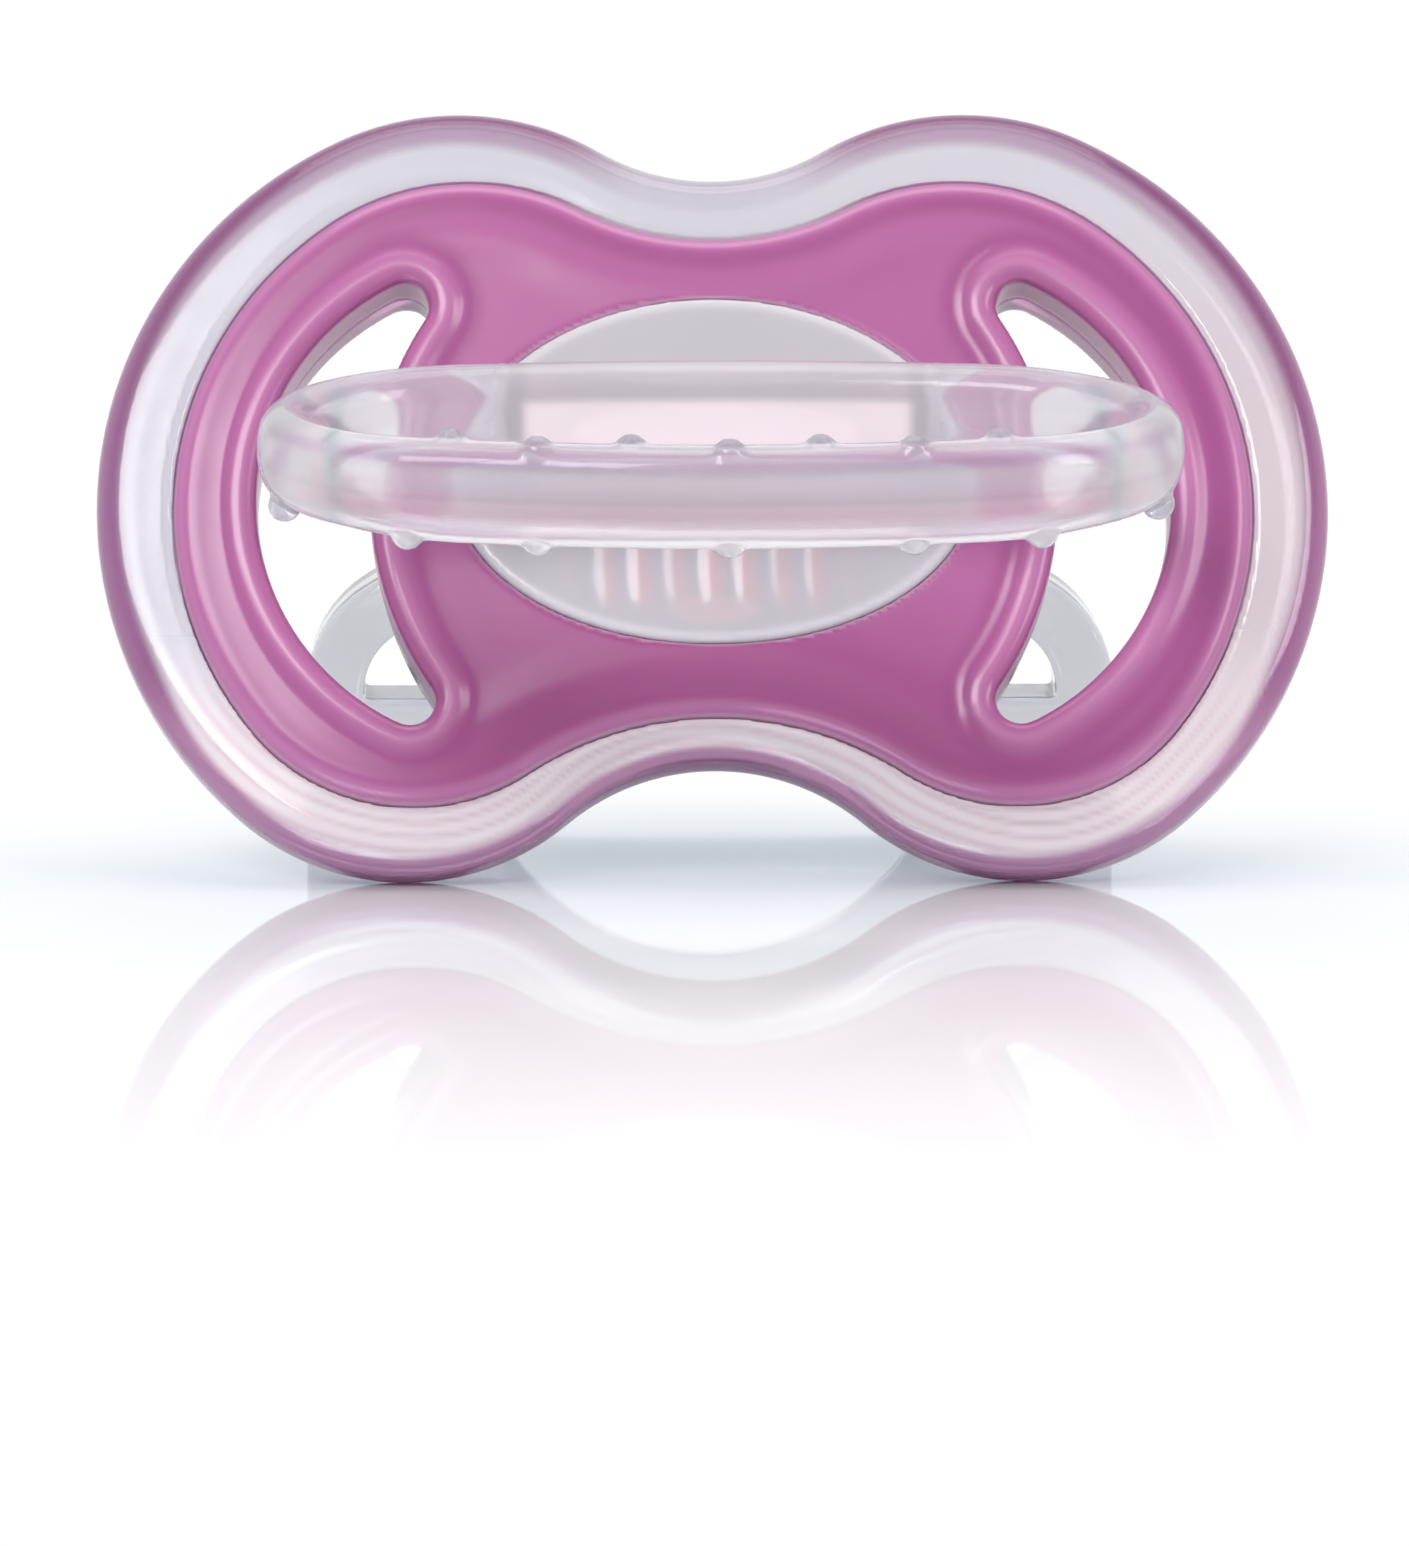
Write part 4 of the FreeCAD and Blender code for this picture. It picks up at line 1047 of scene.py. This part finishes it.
def add_camera():
    """Looks at the disc from a little above, with the disc above the picture's middle."""
    distance = 377.0  # mm
    elevation, azimuth = math.radians(5.0), math.radians(-1.2)
    aim_below_disc = math.radians(2.2774)
    towards = Vector(
        (
            math.sin(azimuth) * math.cos(elevation),
            -math.cos(azimuth) * math.cos(elevation),
            math.sin(elevation),
        )
    )
    camera = bpy.data.objects.new("camera", bpy.data.cameras.new("camera"))
    camera.data.sensor_width = 36.0
    camera.data.sensor_fit = "HORIZONTAL"
    camera.data.lens = 198.52
    camera.data.clip_start = 0.01
    camera.data.shift_x = -0.0065
    camera.location = (Vector(SHIELD["origin"]) + towards * distance) * MM
    camera.rotation_euler = (math.pi / 2 - elevation - aim_below_disc, 0.0, azimuth)
    bpy.context.scene.collection.objects.link(camera)
    bpy.context.scene.camera = camera


def add_light(name, place, target, width, height, power, colour=(1.0, 1.0, 1.0)):
    data = bpy.data.lights.new(name, "AREA")
    data.shape = "RECTANGLE"
    data.size, data.size_y = width, height
    data.energy = power
    data.color = colour
    light = bpy.data.objects.new(name, data)
    light.location = place
    light.rotation_euler = (Vector(target) - Vector(place)).to_track_quat("-Z", "Y").to_euler()
    bpy.context.scene.collection.objects.link(light)


def add_world():
    """White behind the object and dimmer in front, so the lights show in the gloss."""
    world = bpy.data.worlds.new("studio")
    world.use_nodes = True
    nodes, links = world.node_tree.nodes, world.node_tree.links
    place = nodes.new("ShaderNodeTexCoord")
    parts = nodes.new("ShaderNodeSeparateXYZ")
    links.new(place.outputs["Generated"], parts.inputs["Vector"])
    fade = nodes.new("ShaderNodeMapRange")
    fade.interpolation_type = "SMOOTHSTEP"
    set_inputs(fade, From_Min=-0.45, From_Max=0.25, To_Min=0.50, To_Max=1.03)
    links.new(parts.outputs["Y"], fade.inputs["Value"])
    links.new(fade.outputs["Result"], nodes["Background"].inputs["Strength"])
    set_inputs(nodes["Background"], Color=(1.0, 1.0, 1.0, 1.0))
    bpy.context.scene.world = world


def add_studio():
    """Three soft lights and a pale world. Places and sizes are in metres, powers in watts."""
    add_world()
    body = (0, 0, 0.02)
    warm = (1.0, 0.98, 0.98)
    add_light("key", (-0.22, -0.42, 0.36), body, width=0.34, height=0.20, power=2.0)
    add_light("fill", (0.42, -0.26, 0.22), body, width=0.16, height=0.30, power=0.9, colour=warm)
    add_light("top", (0.0, 0.10, 0.55), (0, 0, 0.0), width=0.50, height=0.30, power=0.9)
    bpy.context.scene.view_settings.view_transform = "Standard"


# ---------------------------------------------------------------- the scene


def dress(piece, material, node, body):
    piece.data.materials.append(material)
    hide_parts(node)
    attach(piece, body)


def main():
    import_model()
    clear = clear_material()
    dress(shield_base(), base_material(), "shield_base", "shield")
    dress(shield_plate(), pink_material(), "shield_plate", "shield")
    dress(mouthpiece(), silicone_material(), "mouthpiece", "shield")
    dress(neck_plug(), pale_material(), "neck_plug", "shield")
    dress(rear_cover(), clear, "rear_cover", "shield")
    dress(handle(), clear, "handle", "handle")
    add_floor()
    add_camera()
    add_studio()


main()
